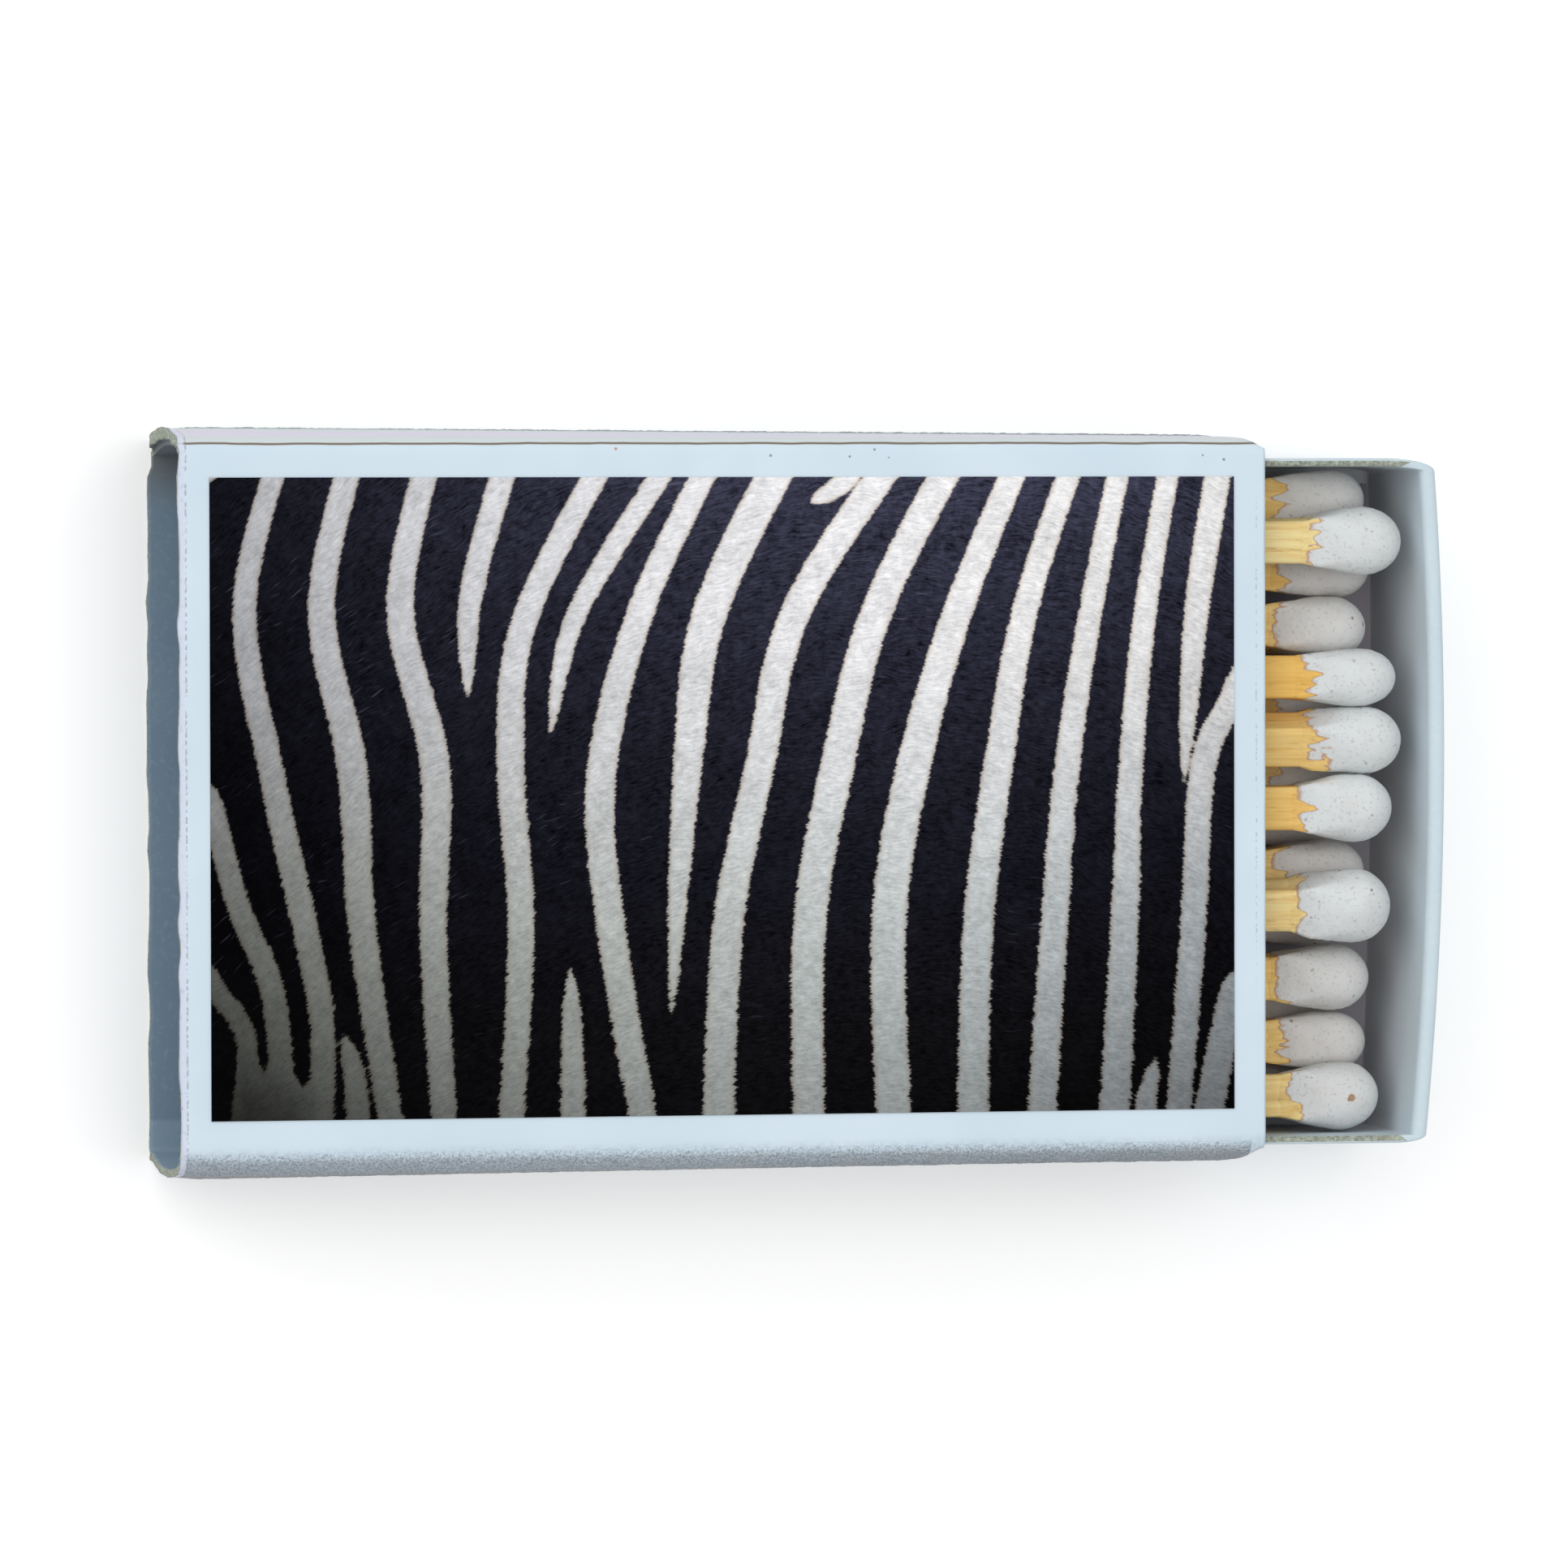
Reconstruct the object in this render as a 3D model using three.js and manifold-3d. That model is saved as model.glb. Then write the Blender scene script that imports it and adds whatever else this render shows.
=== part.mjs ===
// Matchbox: a folded card sleeve with a striking strip on each long side and a striped print on
// its face, and a folded card tray of matches pushed part of the way out of one end.
// Millimetres. X runs along the sleeve towards the open end of the tray, Y across it, and Z out of
// the printed face. The origin is the centre of the sleeve's plain back, which lies on the table.
import * as THREE from 'three';
import { mergeVertices } from 'three/addons/utils/BufferGeometryUtils.js';
import Module from 'manifold-3d';

const wasm = await Module();
wasm.setup();

// Card and clearances
const CARD = 0.4;
const SIDE_CLEARANCE = 0.2;
const LEVEL_CLEARANCE = 0.3;
const MATCH_CLEARANCE = 0.08;

// Sleeve
const SLEEVE_LENGTH = 54;
const SLEEVE_WIDTH = 35.7;
const SLEEVE_HEIGHT = 12;
const BACK_FOLD = 0.7;
const TOP_FOLD = 0.75;
const WORN_FOLD = 1.25;
const BOW_AT_EMPTY_END = 0.55;
const BOW_AT_TRAY_END = 0.12;
const LAP_STOP = 1.9;
const EMPTY_END_RAKE = 0.3;

// Striking strips
const STRIKER_COAT = 0.12;
const STRIKER_BINDER = 0.03;
const STRIKER_END_MARGIN = 0.7;
const STRIKER_START_MARGIN = 0.2;
const STRIKER_BACK_MARGIN = 1.1;
const UPPER_STRIKER_DROP = 6.4;

// Print on the face, with bare card left round it
const PRINT_MARGIN_EMPTY_END = 1.36;
const PRINT_MARGIN_TRAY_END = 1.6;
const PRINT_MARGIN_UPPER = 1.9;
const PRINT_MARGIN_LOWER = 2.48;
const INK = 0.04;

// Tray
const TRAY_LENGTH = 53.2;
const TRAY_OPENING = 8.75;
const TRAY_CORNER = 0.9;
const TRAY_FLOOR_FOLD = 0.5;
const END_BOW = 0.75;
const BOW_AT_FLOOR = 0.4;
const END_LEAN = 0.3;
const RACK = 0.22;
const RIM_DRAW = 0.32;
const FOOT_FLAP = 6;
const FOOT_SIDE_GAP = 0.8;
const FOOT_SINK = 0.2;
const CORNER_SLIT = 0.28;
const CORNER_SLIT_DEPTH = 0.7;

// Matches
const MATCH_LENGTH = 44.5;
const STICK = 2.2;
const HEAD_LENGTH = 4.9;
const HEAD_SIDES = 16;
const STICK_GAP = 0.1;

// What follows from these
const halfLength = SLEEVE_LENGTH / 2;
const halfWidth = SLEEVE_WIDTH / 2;
const trayWidth = SLEEVE_WIDTH - 3 * CARD - 2 * SIDE_CLEARANCE;
const trayHeight = SLEEVE_HEIGHT - 2 * CARD - 2 * LEVEL_CLEARANCE;
const trayCentreY = -CARD / 2;
const trayBaseZ = CARD + LEVEL_CLEARANCE;
const trayHalfLength = TRAY_LENGTH / 2;
const trayHalfWidth = trayWidth / 2;
const wellHalfLength = trayHalfLength - 2 * CARD;
const wellHalfWidth = trayHalfWidth - CARD;
const faceZ = SLEEVE_HEIGHT;
const printLeft = -halfLength + PRINT_MARGIN_EMPTY_END;
const printBottom = -halfWidth + PRINT_MARGIN_LOWER;
const printWidth = SLEEVE_LENGTH - PRINT_MARGIN_EMPTY_END - PRINT_MARGIN_TRAY_END;
const printHeight = SLEEVE_WIDTH - PRINT_MARGIN_LOWER - PRINT_MARGIN_UPPER;

const CARD_WHITE = new THREE.MeshStandardMaterial({ color: '#d7e8f3', roughness: 0.7 });
const CARD_GREY = new THREE.MeshStandardMaterial({ color: '#b9c4c6', roughness: 0.85 });
const STRIKER_GREY = new THREE.MeshStandardMaterial({ color: '#a9adb1', roughness: 0.9 });
const PRINT_LIGHT = new THREE.MeshStandardMaterial({ color: '#c9c5c1', roughness: 0.45 });
const PRINT_DARK = new THREE.MeshStandardMaterial({ color: '#17161c', roughness: 0.4 });
const SPLINT_WOOD = new THREE.MeshStandardMaterial({ color: '#e8be6e', roughness: 0.75 });
const HEAD_WHITE = new THREE.MeshStandardMaterial({ color: '#dedcd8', roughness: 0.8 });

function named(name, geometry, material) {
  const mesh = new THREE.Mesh(geometry, material);
  mesh.name = name;
  return mesh;
}

// Moves every vertex of a geometry by a rule on its place.
function reshape(geometry, rule) {
  const place = geometry.getAttribute('position');
  const point = new THREE.Vector3();
  for (let i = 0; i < place.count; i += 1) {
    point.fromBufferAttribute(place, i);
    rule(point);
    place.setXYZ(i, point.x, point.y, point.z);
  }
  return geometry;
}

function toSolid(geometry) {
  const bare = geometry.clone();
  bare.deleteAttribute('normal');
  bare.deleteAttribute('uv');
  const merged = mergeVertices(bare, 1e-4);
  return new wasm.Manifold(new wasm.Mesh({
    numProp: 3,
    vertProperties: new Float32Array(merged.getAttribute('position').array),
    triVerts: new Uint32Array(merged.getIndex().array),
  }));
}

function toGeometry(solid) {
  const mesh = solid.getMesh();
  const geometry = new THREE.BufferGeometry();
  geometry.setAttribute('position', new THREE.BufferAttribute(mesh.vertProperties, 3));
  geometry.setIndex(new THREE.BufferAttribute(mesh.triVerts, 1));
  geometry.computeVertexNormals();
  return geometry;
}

// Sleeve section: Y across, Z up. Each fold is a quarter arc and each side is cut into short steps,
// so that it can bow.
const ARC_STEPS = 5;
const SIDE_STEPS = 8;

function quarterFold(centreY, centreZ, radius, startAngle) {
  const points = [];
  for (let i = 0; i <= ARC_STEPS; i += 1) {
    const angle = startAngle + (Math.PI / 2) * (i / ARC_STEPS);
    points.push(new THREE.Vector2(centreY + radius * Math.cos(angle), centreZ + radius * Math.sin(angle)));
  }
  return points;
}

function sideSteps(y, fromZ, toZ) {
  const points = [];
  for (let i = 1; i < SIDE_STEPS; i += 1) {
    points.push(new THREE.Vector2(y, fromZ + (toZ - fromZ) * (i / SIDE_STEPS)));
  }
  return points;
}

function outerSection() {
  const top = SLEEVE_HEIGHT;
  return [
    ...quarterFold(halfWidth - BACK_FOLD, BACK_FOLD, BACK_FOLD, -Math.PI / 2),
    ...sideSteps(halfWidth, BACK_FOLD, top - TOP_FOLD),
    ...quarterFold(halfWidth - TOP_FOLD, top - TOP_FOLD, TOP_FOLD, 0),
    ...quarterFold(-halfWidth + WORN_FOLD, top - WORN_FOLD, WORN_FOLD, Math.PI / 2),
    ...sideSteps(-halfWidth, top - WORN_FOLD, BACK_FOLD),
    ...quarterFold(-halfWidth + BACK_FOLD, BACK_FOLD, BACK_FOLD, Math.PI),
  ];
}

// The same section one card in. On the +Y side the glued lap adds a second card, which stops short
// of the face.
function innerSection() {
  const top = SLEEVE_HEIGHT;
  const lapY = halfWidth - 2 * CARD;
  const plainY = halfWidth - CARD;
  return [
    new THREE.Vector2(lapY, CARD),
    ...sideSteps(lapY, CARD, top - LAP_STOP),
    new THREE.Vector2(lapY, top - LAP_STOP),
    new THREE.Vector2(plainY, top - LAP_STOP),
    ...quarterFold(halfWidth - TOP_FOLD, top - TOP_FOLD, TOP_FOLD - CARD, 0),
    ...quarterFold(-halfWidth + WORN_FOLD, top - WORN_FOLD, WORN_FOLD - CARD, Math.PI / 2),
    ...sideSteps(-plainY, top - WORN_FOLD, BACK_FOLD),
    ...quarterFold(-halfWidth + BACK_FOLD, BACK_FOLD, BACK_FOLD - CARD, Math.PI),
  ];
}

// Places along the sleeve where its section is drawn; the striking strips end on two of them.
const SPAN_STEPS = 6;
const strikerStart = -halfLength + STRIKER_START_MARGIN;
const strikerEnd = halfLength - STRIKER_END_MARGIN;
const stations = [-halfLength];
for (let i = 0; i <= SPAN_STEPS; i += 1) {
  stations.push(strikerStart + (strikerEnd - strikerStart) * (i / SPAN_STEPS));
}
stations.push(halfLength);

// The long sides bow outwards, most at the empty end.
function bowSides(point) {
  const along = (point.x + halfLength) / SLEEVE_LENGTH;
  const amount = BOW_AT_EMPTY_END + (BOW_AT_TRAY_END - BOW_AT_EMPTY_END) * along;
  const rise = Math.sin(Math.PI * THREE.MathUtils.clamp(point.z / SLEEVE_HEIGHT, 0, 1));
  point.y += Math.sign(point.y) * amount * rise;
}

// The empty end is cut aslant: the back runs out further than the face.
function rakeEnd(point) {
  if (point.x <= -halfLength) {
    point.x -= EMPTY_END_RAKE * (1 - THREE.MathUtils.clamp(point.z / SLEEVE_HEIGHT, 0, 1));
  }
}

// A section is extruded one unit for each station, then each unit is moved to its station.
function alongSleeve(shape, first, last) {
  const count = last - first;
  const geometry = new THREE.ExtrudeGeometry(shape, { depth: count, steps: count, bevelEnabled: false });
  return reshape(geometry, (point) => {
    const station = stations[first + Math.round(point.z)];
    point.set(station, point.x, point.y);
    bowSides(point);
    rakeEnd(point);
  });
}

function sleeveGeometry() {
  const shape = new THREE.Shape(outerSection());
  shape.holes.push(new THREE.Path(innerSection()));
  return alongSleeve(shape, 0, stations.length - 1);
}

// A striking strip lies on one long side between two heights. The lower one runs on over the worn
// fold onto the edge of the face; the upper one stops short and leaves bare card below its fold.
function strikerGeometry(side, fromZ, toZ, foldRadius) {
  const wallY = side * halfWidth;
  const seat = [new THREE.Vector2(wallY, fromZ), ...sideSteps(wallY, fromZ, toZ), new THREE.Vector2(wallY, toZ)];
  const outward = seat.map(() => new THREE.Vector2(side, 0));
  for (let i = 1; foldRadius > 0 && i < ARC_STEPS; i += 1) {
    const angle = (Math.PI / 2) * (i / ARC_STEPS);
    const spoke = new THREE.Vector2(side * Math.cos(angle), Math.sin(angle));
    seat.push(new THREE.Vector2(wallY - side * foldRadius, toZ).addScaledVector(spoke, foldRadius));
    outward.push(spoke);
  }
  const lifted = (height) => seat.map((point, i) => point.clone().addScaledVector(outward[i], height));
  const shape = new THREE.Shape([...lifted(STRIKER_BINDER + STRIKER_COAT), ...lifted(STRIKER_BINDER).reverse()]);
  return alongSleeve(shape, 1, stations.length - 2);
}

// Print. Each light stripe has its widths at the start, middle and end of a centre line, in percent
// of the panel's width, and that line, which runs from above the panel to below it in percent
// across the panel and percent up it. What lies between two neighbours is one dark field.
const ABOVE = 105;
const BELOW = -5;
const BESIDE = -8;
const LONG_STRIPES = [
  [[2, 2, 2], [[-3.2, ABOVE], [-2.2, 33], [-0.1, 22], [2.5, 16], [3.5, 10], [2.3, BELOW]]],
  [[2.2, 2.2, 2.4], [[-2.4, ABOVE], [-1.6, 57], [0.1, 49], [2.7, 33], [6.0, 19], [7.2, BELOW]]],
  [[2.1, 2.5, 2.3], [[7.0, ABOVE], [3.3, 80], [6.0, 53], [8.9, 31], [10.9, 14], [11.5, BELOW]]],
  [[2.3, 2.9, 2.4], [[14.0, ABOVE], [10.7, 80], [13.6, 55], [14.6, 29], [17.7, BELOW]]],
  [[2.4, 2.9, 2.4], [[21.4, ABOVE], [18.3, 80], [21.6, 55], [21.4, 29], [22.6, BELOW]]],
  [[2.3, 2.7, 2.4], [[38.8, ABOVE], [30.4, 78], [28.9, 57], [29.9, 29], [28.7, BELOW]]],
  [[2.3, 2.9, 2.7], [[49.2, ABOVE], [41.6, 79], [37.7, 53], [38.7, 29], [42.2, BELOW]]],
  [[2.9, 2.9, 3.1], [[67.2, ABOVE], [56.8, 79], [53.1, 54], [50.0, 29], [49.0, BELOW]]],
  [[2.8, 3.3, 3.1], [[72.9, ABOVE], [64.7, 79], [60.7, 54], [58.0, 29], [58.0, BELOW]]],
  [[2.4, 3.4, 3.4], [[79.3, ABOVE], [72.7, 79], [68.2, 54], [65.8, 29], [66.4, BELOW]]],
  [[2.2, 2.9, 3.1], [[84.6, ABOVE], [79.3, 79], [76.6, 54], [74.6, 29], [74.0, BELOW]]],
  [[2.1, 2.5, 2.9], [[89.1, ABOVE], [85.8, 79], [83.4, 54], [82.1, 29], [80.7, BELOW]]],
  [[2.1, 2.4, 3.1], [[94.0, ABOVE], [91.2, 79], [89.7, 54], [89.1, 29], [87.9, BELOW]]],
  [[2.4, 2.6, 2.5], [[103.6, ABOVE], [102.4, 76], [99.8, 65], [96.9, 54], [95.9, 29], [94.2, BELOW]]],
  [[2.4, 2.4, 3.1], [[105.9, ABOVE], [102.4, 28], [99.8, 18], [96.9, BELOW]]],
];

// Short stripes run in from one edge and come to a point; each has one width.
const SHORT_STRIPES = [
  [2.4, [[29.1, ABOVE], [25.2, 82], [24.8, 66]]],
  [2.1, [[45.5, ABOVE], [35.5, 79], [32.8, 60]]],
  [3.4, [[56.2, ABOVE], [48.4, 79], [46.1, 54], [44.5, 16]]],
  [2.2, [[64.1, ABOVE], [61.3, 99], [58.2, 96]]],
  [2.6, [[98.9, ABOVE], [96.3, 79], [95, 52]]],
  [2.4, [[34.9, BELOW], [34.9, 9], [34.7, 23]]],
  [2.3, [[14.2, BELOW], [13.8, 6], [12.8, 13]]],
  [2.2, [[91.0, BELOW], [91.2, 1], [92.2, 8]]],
  [2.4, [[3.2, ABOVE], [-0.44, 101], [-4.1, 97]]],
];

function stripeCurve(line) {
  return new THREE.SplineCurve(line.map(([across, up]) => new THREE.Vector2(
    printLeft + (printWidth * across) / 100,
    printBottom + (printHeight * up) / 100,
  )));
}

const STRIPE_STEPS = 15;
const TIP_WIDTH = 0.16;

// A stripe's body: its centre line drawn out to both sides by a width for each share of its run.
function stripeSolid(line, widthAt) {
  const curve = stripeCurve(line);
  const left = [];
  const right = [];
  for (let i = 0; i <= STRIPE_STEPS; i += 1) {
    const t = i / STRIPE_STEPS;
    const centre = curve.getPoint(t);
    const tangent = curve.getTangent(t);
    const reach = Math.max((printWidth * widthAt(t)) / 100, TIP_WIDTH) / 2;
    left.push(new THREE.Vector2(centre.x - tangent.y * reach, centre.y + tangent.x * reach));
    right.push(new THREE.Vector2(centre.x + tangent.y * reach, centre.y - tangent.x * reach));
  }
  return fieldLayer(new THREE.Shape([...left, ...right.reverse()]));
}

function longStripe([[start, middle, end], line]) {
  return stripeSolid(line, (t) => (
    t < 0.5 ? start + (middle - start) * 2 * t : middle + (end - middle) * (2 * t - 1)
  ));
}

function shortStripe([width, line]) {
  return stripeSolid(line, (t) => width * (1 - t ** 4));
}

// A shape drawn out through the layer of dark ink, which lies on the printed panel.
function fieldLayer(shape) {
  const geometry = new THREE.ExtrudeGeometry(shape, { depth: 3 * INK, steps: 1, bevelEnabled: false });
  geometry.translate(0, 0, faceZ);
  return toSolid(geometry);
}

function printedPanel(layer) {
  const geometry = new THREE.BoxGeometry(printWidth, printHeight, INK);
  const centreZ = faceZ + INK * (layer + 1 / 2);
  geometry.translate(printLeft + printWidth / 2, printBottom + printHeight / 2, centreZ);
  return geometry;
}

// A dark field is the printed panel between two neighbouring centre lines, less every stripe.
function darkFields() {
  const panel = toSolid(printedPanel(1));
  const stripes = [...LONG_STRIPES.map(longStripe), ...SHORT_STRIPES.map(shortStripe)];
  const borders = [[[BESIDE, ABOVE], [BESIDE, BELOW]], ...LONG_STRIPES.map(([, line]) => line)];
  const fields = [];
  for (let i = 1; i < borders.length; i += 1) {
    const cell = new THREE.Shape([...centreLine(borders[i - 1]), ...centreLine(borders[i]).reverse()]);
    let field = fieldLayer(cell).intersect(panel);
    for (const stripe of stripes) {
      field = field.subtract(stripe);
    }
    fields.push(toGeometry(field));
  }
  return fields;
}

function centreLine(line) {
  return stripeCurve(line).getPoints(STRIPE_STEPS);
}

// Tray. Both ends bow outwards, lean out a little towards the rim, and the whole is racked.
function shapeEnds(point) {
  const across = point.y / trayHalfWidth;
  const up = THREE.MathUtils.clamp(point.z / trayHeight, 0, 1);
  const bow = END_BOW * (1 - across ** 2) * (BOW_AT_FLOOR + (1 - BOW_AT_FLOOR) * up);
  point.x += (bow + END_LEAN * up) * (point.x / trayHalfLength) + RACK * across;
  return point;
}

const END_STEPS = 8;

function trayPlan(halfX, halfY, corner) {
  const points = [];
  for (const [signX, signY, start] of [[1, 1, 0], [-1, 1, 1], [-1, -1, 2], [1, -1, 3]]) {
    for (let i = 0; i <= ARC_STEPS; i += 1) {
      const angle = (Math.PI / 2) * (start + i / ARC_STEPS);
      points.push(new THREE.Vector2(
        signX * (halfX - corner) + corner * Math.cos(angle),
        signY * (halfY - corner) + corner * Math.sin(angle),
      ));
    }
    const leadsAlongEnd = signX !== signY;
    if (leadsAlongEnd) {
      const fromY = signY * (halfY - corner);
      for (let i = 1; i < END_STEPS; i += 1) {
        const x = signX * halfX;
        points.push(new THREE.Vector2(x, fromY * (1 - (2 * i) / END_STEPS)));
      }
    }
  }
  return new THREE.Shape(points);
}

// Rounding of the folded-over top edge of an end wall: how far each face draws back at a height.
function rimRound(z) {
  const below = THREE.MathUtils.clamp((z - (trayHeight - CARD)) / CARD, 0, 1);
  return RIM_DRAW * (1 - Math.sqrt(1 - below ** 2));
}

// Inset of the floor fold at a height above the tray's underside.
function floorRound(z) {
  const below = THREE.MathUtils.clamp(1 - z / TRAY_FLOOR_FOLD, 0, 1);
  return TRAY_FLOOR_FOLD * (1 - Math.sqrt(1 - below ** 2));
}

function trayShell(levels, halfX, halfY, corner, insetAt, rimSign) {
  const count = levels.length - 1;
  const plan = trayPlan(halfX, halfY, corner);
  const geometry = new THREE.ExtrudeGeometry(plan, { depth: count, steps: count, bevelEnabled: false });
  return toSolid(reshape(geometry, (point) => {
    point.z = levels[Math.round(point.z)];
    const inset = insetAt(point.z);
    point.x *= 1 - (inset + rimSign * rimRound(point.z)) / halfX;
    point.y *= 1 - inset / halfY;
    shapeEnds(point);
  }));
}

function trayGeometry() {
  const rim = [trayHeight - CARD, trayHeight - 0.6 * CARD, trayHeight - 0.25 * CARD, trayHeight];
  const outerLevels = [0, 0.3 * TRAY_FLOOR_FOLD, TRAY_FLOOR_FOLD, trayHeight / 2, ...rim];
  const wellLevels = [CARD, trayHeight / 2, ...rim, trayHeight + CARD];
  const outer = trayShell(outerLevels, trayHalfLength, trayHalfWidth, TRAY_CORNER, floorRound, 1);
  const wellCorner = TRAY_CORNER - CARD;
  const well = trayShell(wellLevels, wellHalfLength, wellHalfWidth, wellCorner, () => 0, -1);
  let tray = outer.subtract(well);
  for (const end of [-1, 1]) {
    tray = tray.add(footFlap(end));
    for (const side of [-1, 1]) {
      tray = tray.subtract(cornerSlit(end, side));
    }
  }
  return toGeometry(tray);
}

// The inner layer of each end wall turns in onto the floor as a flap, sunk into the floor and run
// into the wall so that they are one piece.
function footFlap(end) {
  const length = FOOT_FLAP + 1.2 * CARD;
  const geometry = new THREE.BoxGeometry(length, 2 * (wellHalfWidth - FOOT_SIDE_GAP), CARD + FOOT_SINK);
  geometry.translate(end * (wellHalfLength - FOOT_FLAP + length / 2), 0, CARD + (CARD - FOOT_SINK) / 2);
  return toSolid(geometry);
}

// A slit at the rim where the folded end meets the raw edge of the long wall.
function cornerSlit(end, side) {
  const geometry = new THREE.BoxGeometry(CORNER_SLIT, 3 * CARD, 2 * CORNER_SLIT_DEPTH);
  const x = end * (wellHalfLength + END_LEAN - CORNER_SLIT) + side * RACK;
  geometry.translate(x, side * trayHalfWidth, trayHeight);
  return toSolid(geometry);
}

// Matches, as they lie in the tray: distance of the head's neck from the upper long wall, its
// height over the tray's underside, gap from the tip to the end wall, head diameter, turn about the
// stick in degrees, and layer, 0 at the bottom. A narrower tray holds fewer of them.
const MATCHES = [
  [1.64, 5.65, 1.66, 3.1, 0, 1],
  [3.71, 8.55, 0.71, 3.45, 4, 2],
  [5.15, 5.1, 1.38, 2.95, 0, 1],
  [8.05, 6.2, 1.96, 3.2, -8, 1],
  [10.5, 8.5, 1.16, 2.95, -3, 2],
  [13.62, 8.55, 0.92, 3.2, 24, 2],
  [17, 8.6, 1.4, 3.45, 2, 2],
  [20.25, 5.3, 1.71, 3.2, 0, 1],
  [21.87, 8.55, 1.34, 3.7, 17, 2],
  [25.56, 6.25, 1.59, 3.35, 3, 1],
  [28.81, 5.2, 1.27, 3.1, 0, 1],
  [31.45, 7.3, 1.04, 3.45, -3, 2],
  [11.4, 5.3, 2.07, 3.1, 0, 1],
  [15.4, 5.2, 2.27, 3.1, 5, 1],
  [3.25, 2.5, 1.88, 3.1, 0, 0],
  [9.6, 2.5, 1.48, 3.1, 0, 0],
  [17.75, 2.5, 2.19, 3.1, 0, 0],
  [22.65, 2.5, 1.69, 3.1, 0, 0],
  [26.9, 2.5, 1.98, 3.1, 0, 0],
  [31.25, 2.5, 1.57, 3.1, 0, 0],
];

const BULGE_AT = 0.56;
const PROFILE_STEPS = 5;

// Head outline from the stick's end to the rounded tip, as distance along and radius.
function headProfile(radius) {
  const points = [new THREE.Vector2(0, 0)];
  for (let i = 0; i <= PROFILE_STEPS; i += 1) {
    const t = i / PROFILE_STEPS;
    const reach = STICK / 2 + (radius - STICK / 2) * Math.sin((Math.PI / 2) * t);
    points.push(new THREE.Vector2(reach, BULGE_AT * HEAD_LENGTH * t));
  }
  for (let i = 1; i < PROFILE_STEPS; i += 1) {
    const angle = (Math.PI / 2) * (i / PROFILE_STEPS);
    const along = BULGE_AT + (1 - BULGE_AT) * Math.sin(angle);
    points.push(new THREE.Vector2(radius * Math.cos(angle), HEAD_LENGTH * along));
  }
  points.push(new THREE.Vector2(0, HEAD_LENGTH));
  return points;
}

// The head is turned from its outline, then squared at the neck, where it meets the square stick.
function headGeometry(radius) {
  const geometry = new THREE.LatheGeometry(headProfile(radius), HEAD_SIDES);
  return reshape(geometry, (point) => {
    const angle = Math.atan2(point.z, point.x);
    const square = 1 / Math.max(Math.abs(Math.cos(angle)), Math.abs(Math.sin(angle)));
    const roundness = THREE.MathUtils.smoothstep(point.y / HEAD_LENGTH, 0, BULGE_AT);
    const stretch = square + (1 - square) * roundness;
    point.set(point.y, point.x * stretch, -point.z * stretch);
  });
}

function stickGeometry() {
  const length = MATCH_LENGTH - HEAD_LENGTH;
  const geometry = new THREE.BoxGeometry(length, STICK, STICK);
  geometry.translate(-length / 2, 0, 0);
  return geometry;
}

// Sticks rest on one another at their plain ends, lower than the heads, so each match slopes.
function buttHeight(layer, turn) {
  const corner = Math.abs(Math.sin(THREE.MathUtils.degToRad(turn))) * STICK / 2;
  return 2 * CARD + MATCH_CLEARANCE + STICK / 2 + layer * (STICK + STICK_GAP) + corner;
}

function endWallInside(y, z) {
  return shapeEnds(new THREE.Vector3(wellHalfLength, y, z)).x;
}

function fitsTray([fromWall, , , diameter]) {
  return fromWall + diameter / 2 + MATCH_CLEARANCE < 2 * wellHalfWidth;
}

function match(number, [fromWall, height, tipGap, diameter, turn, layer]) {
  const across = wellHalfWidth - fromWall;
  const tag = String(number).padStart(2, '0');
  const group = new THREE.Group();
  const drop = height - buttHeight(layer, turn);
  const slope = Math.asin(drop / (MATCH_LENGTH - HEAD_LENGTH));
  group.add(named(`match_stick_${tag}`, stickGeometry(), SPLINT_WOOD));
  group.add(named(`match_head_${tag}`, headGeometry(diameter / 2), HEAD_WHITE));
  group.rotation.set(THREE.MathUtils.degToRad(turn), -slope, 0, 'ZYX');
  group.position.set(endWallInside(across, height) - tipGap - HEAD_LENGTH, across, height);
  return group;
}

const matchbox = new THREE.Group();
matchbox.add(named('sleeve', sleeveGeometry(), CARD_WHITE));
matchbox.add(named(
  'striker_lower',
  strikerGeometry(-1, STRIKER_BACK_MARGIN, SLEEVE_HEIGHT - WORN_FOLD, WORN_FOLD),
  STRIKER_GREY,
));
matchbox.add(named(
  'striker_upper',
  strikerGeometry(1, STRIKER_BACK_MARGIN, SLEEVE_HEIGHT - UPPER_STRIKER_DROP, 0),
  STRIKER_GREY,
));
matchbox.add(named('print_panel', printedPanel(0), PRINT_LIGHT));
darkFields().forEach((geometry, index) => {
  matchbox.add(named(`ink_field_${String(index + 1).padStart(2, '0')}`, geometry, PRINT_DARK));
});

const tray = new THREE.Group();
tray.position.set(TRAY_OPENING, trayCentreY, trayBaseZ);
tray.add(named('tray', trayGeometry(), CARD_GREY));
MATCHES.filter(fitsTray).forEach((row, index) => tray.add(match(index + 1, row)));
matchbox.add(tray);

export default matchbox;
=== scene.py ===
import math

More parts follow.
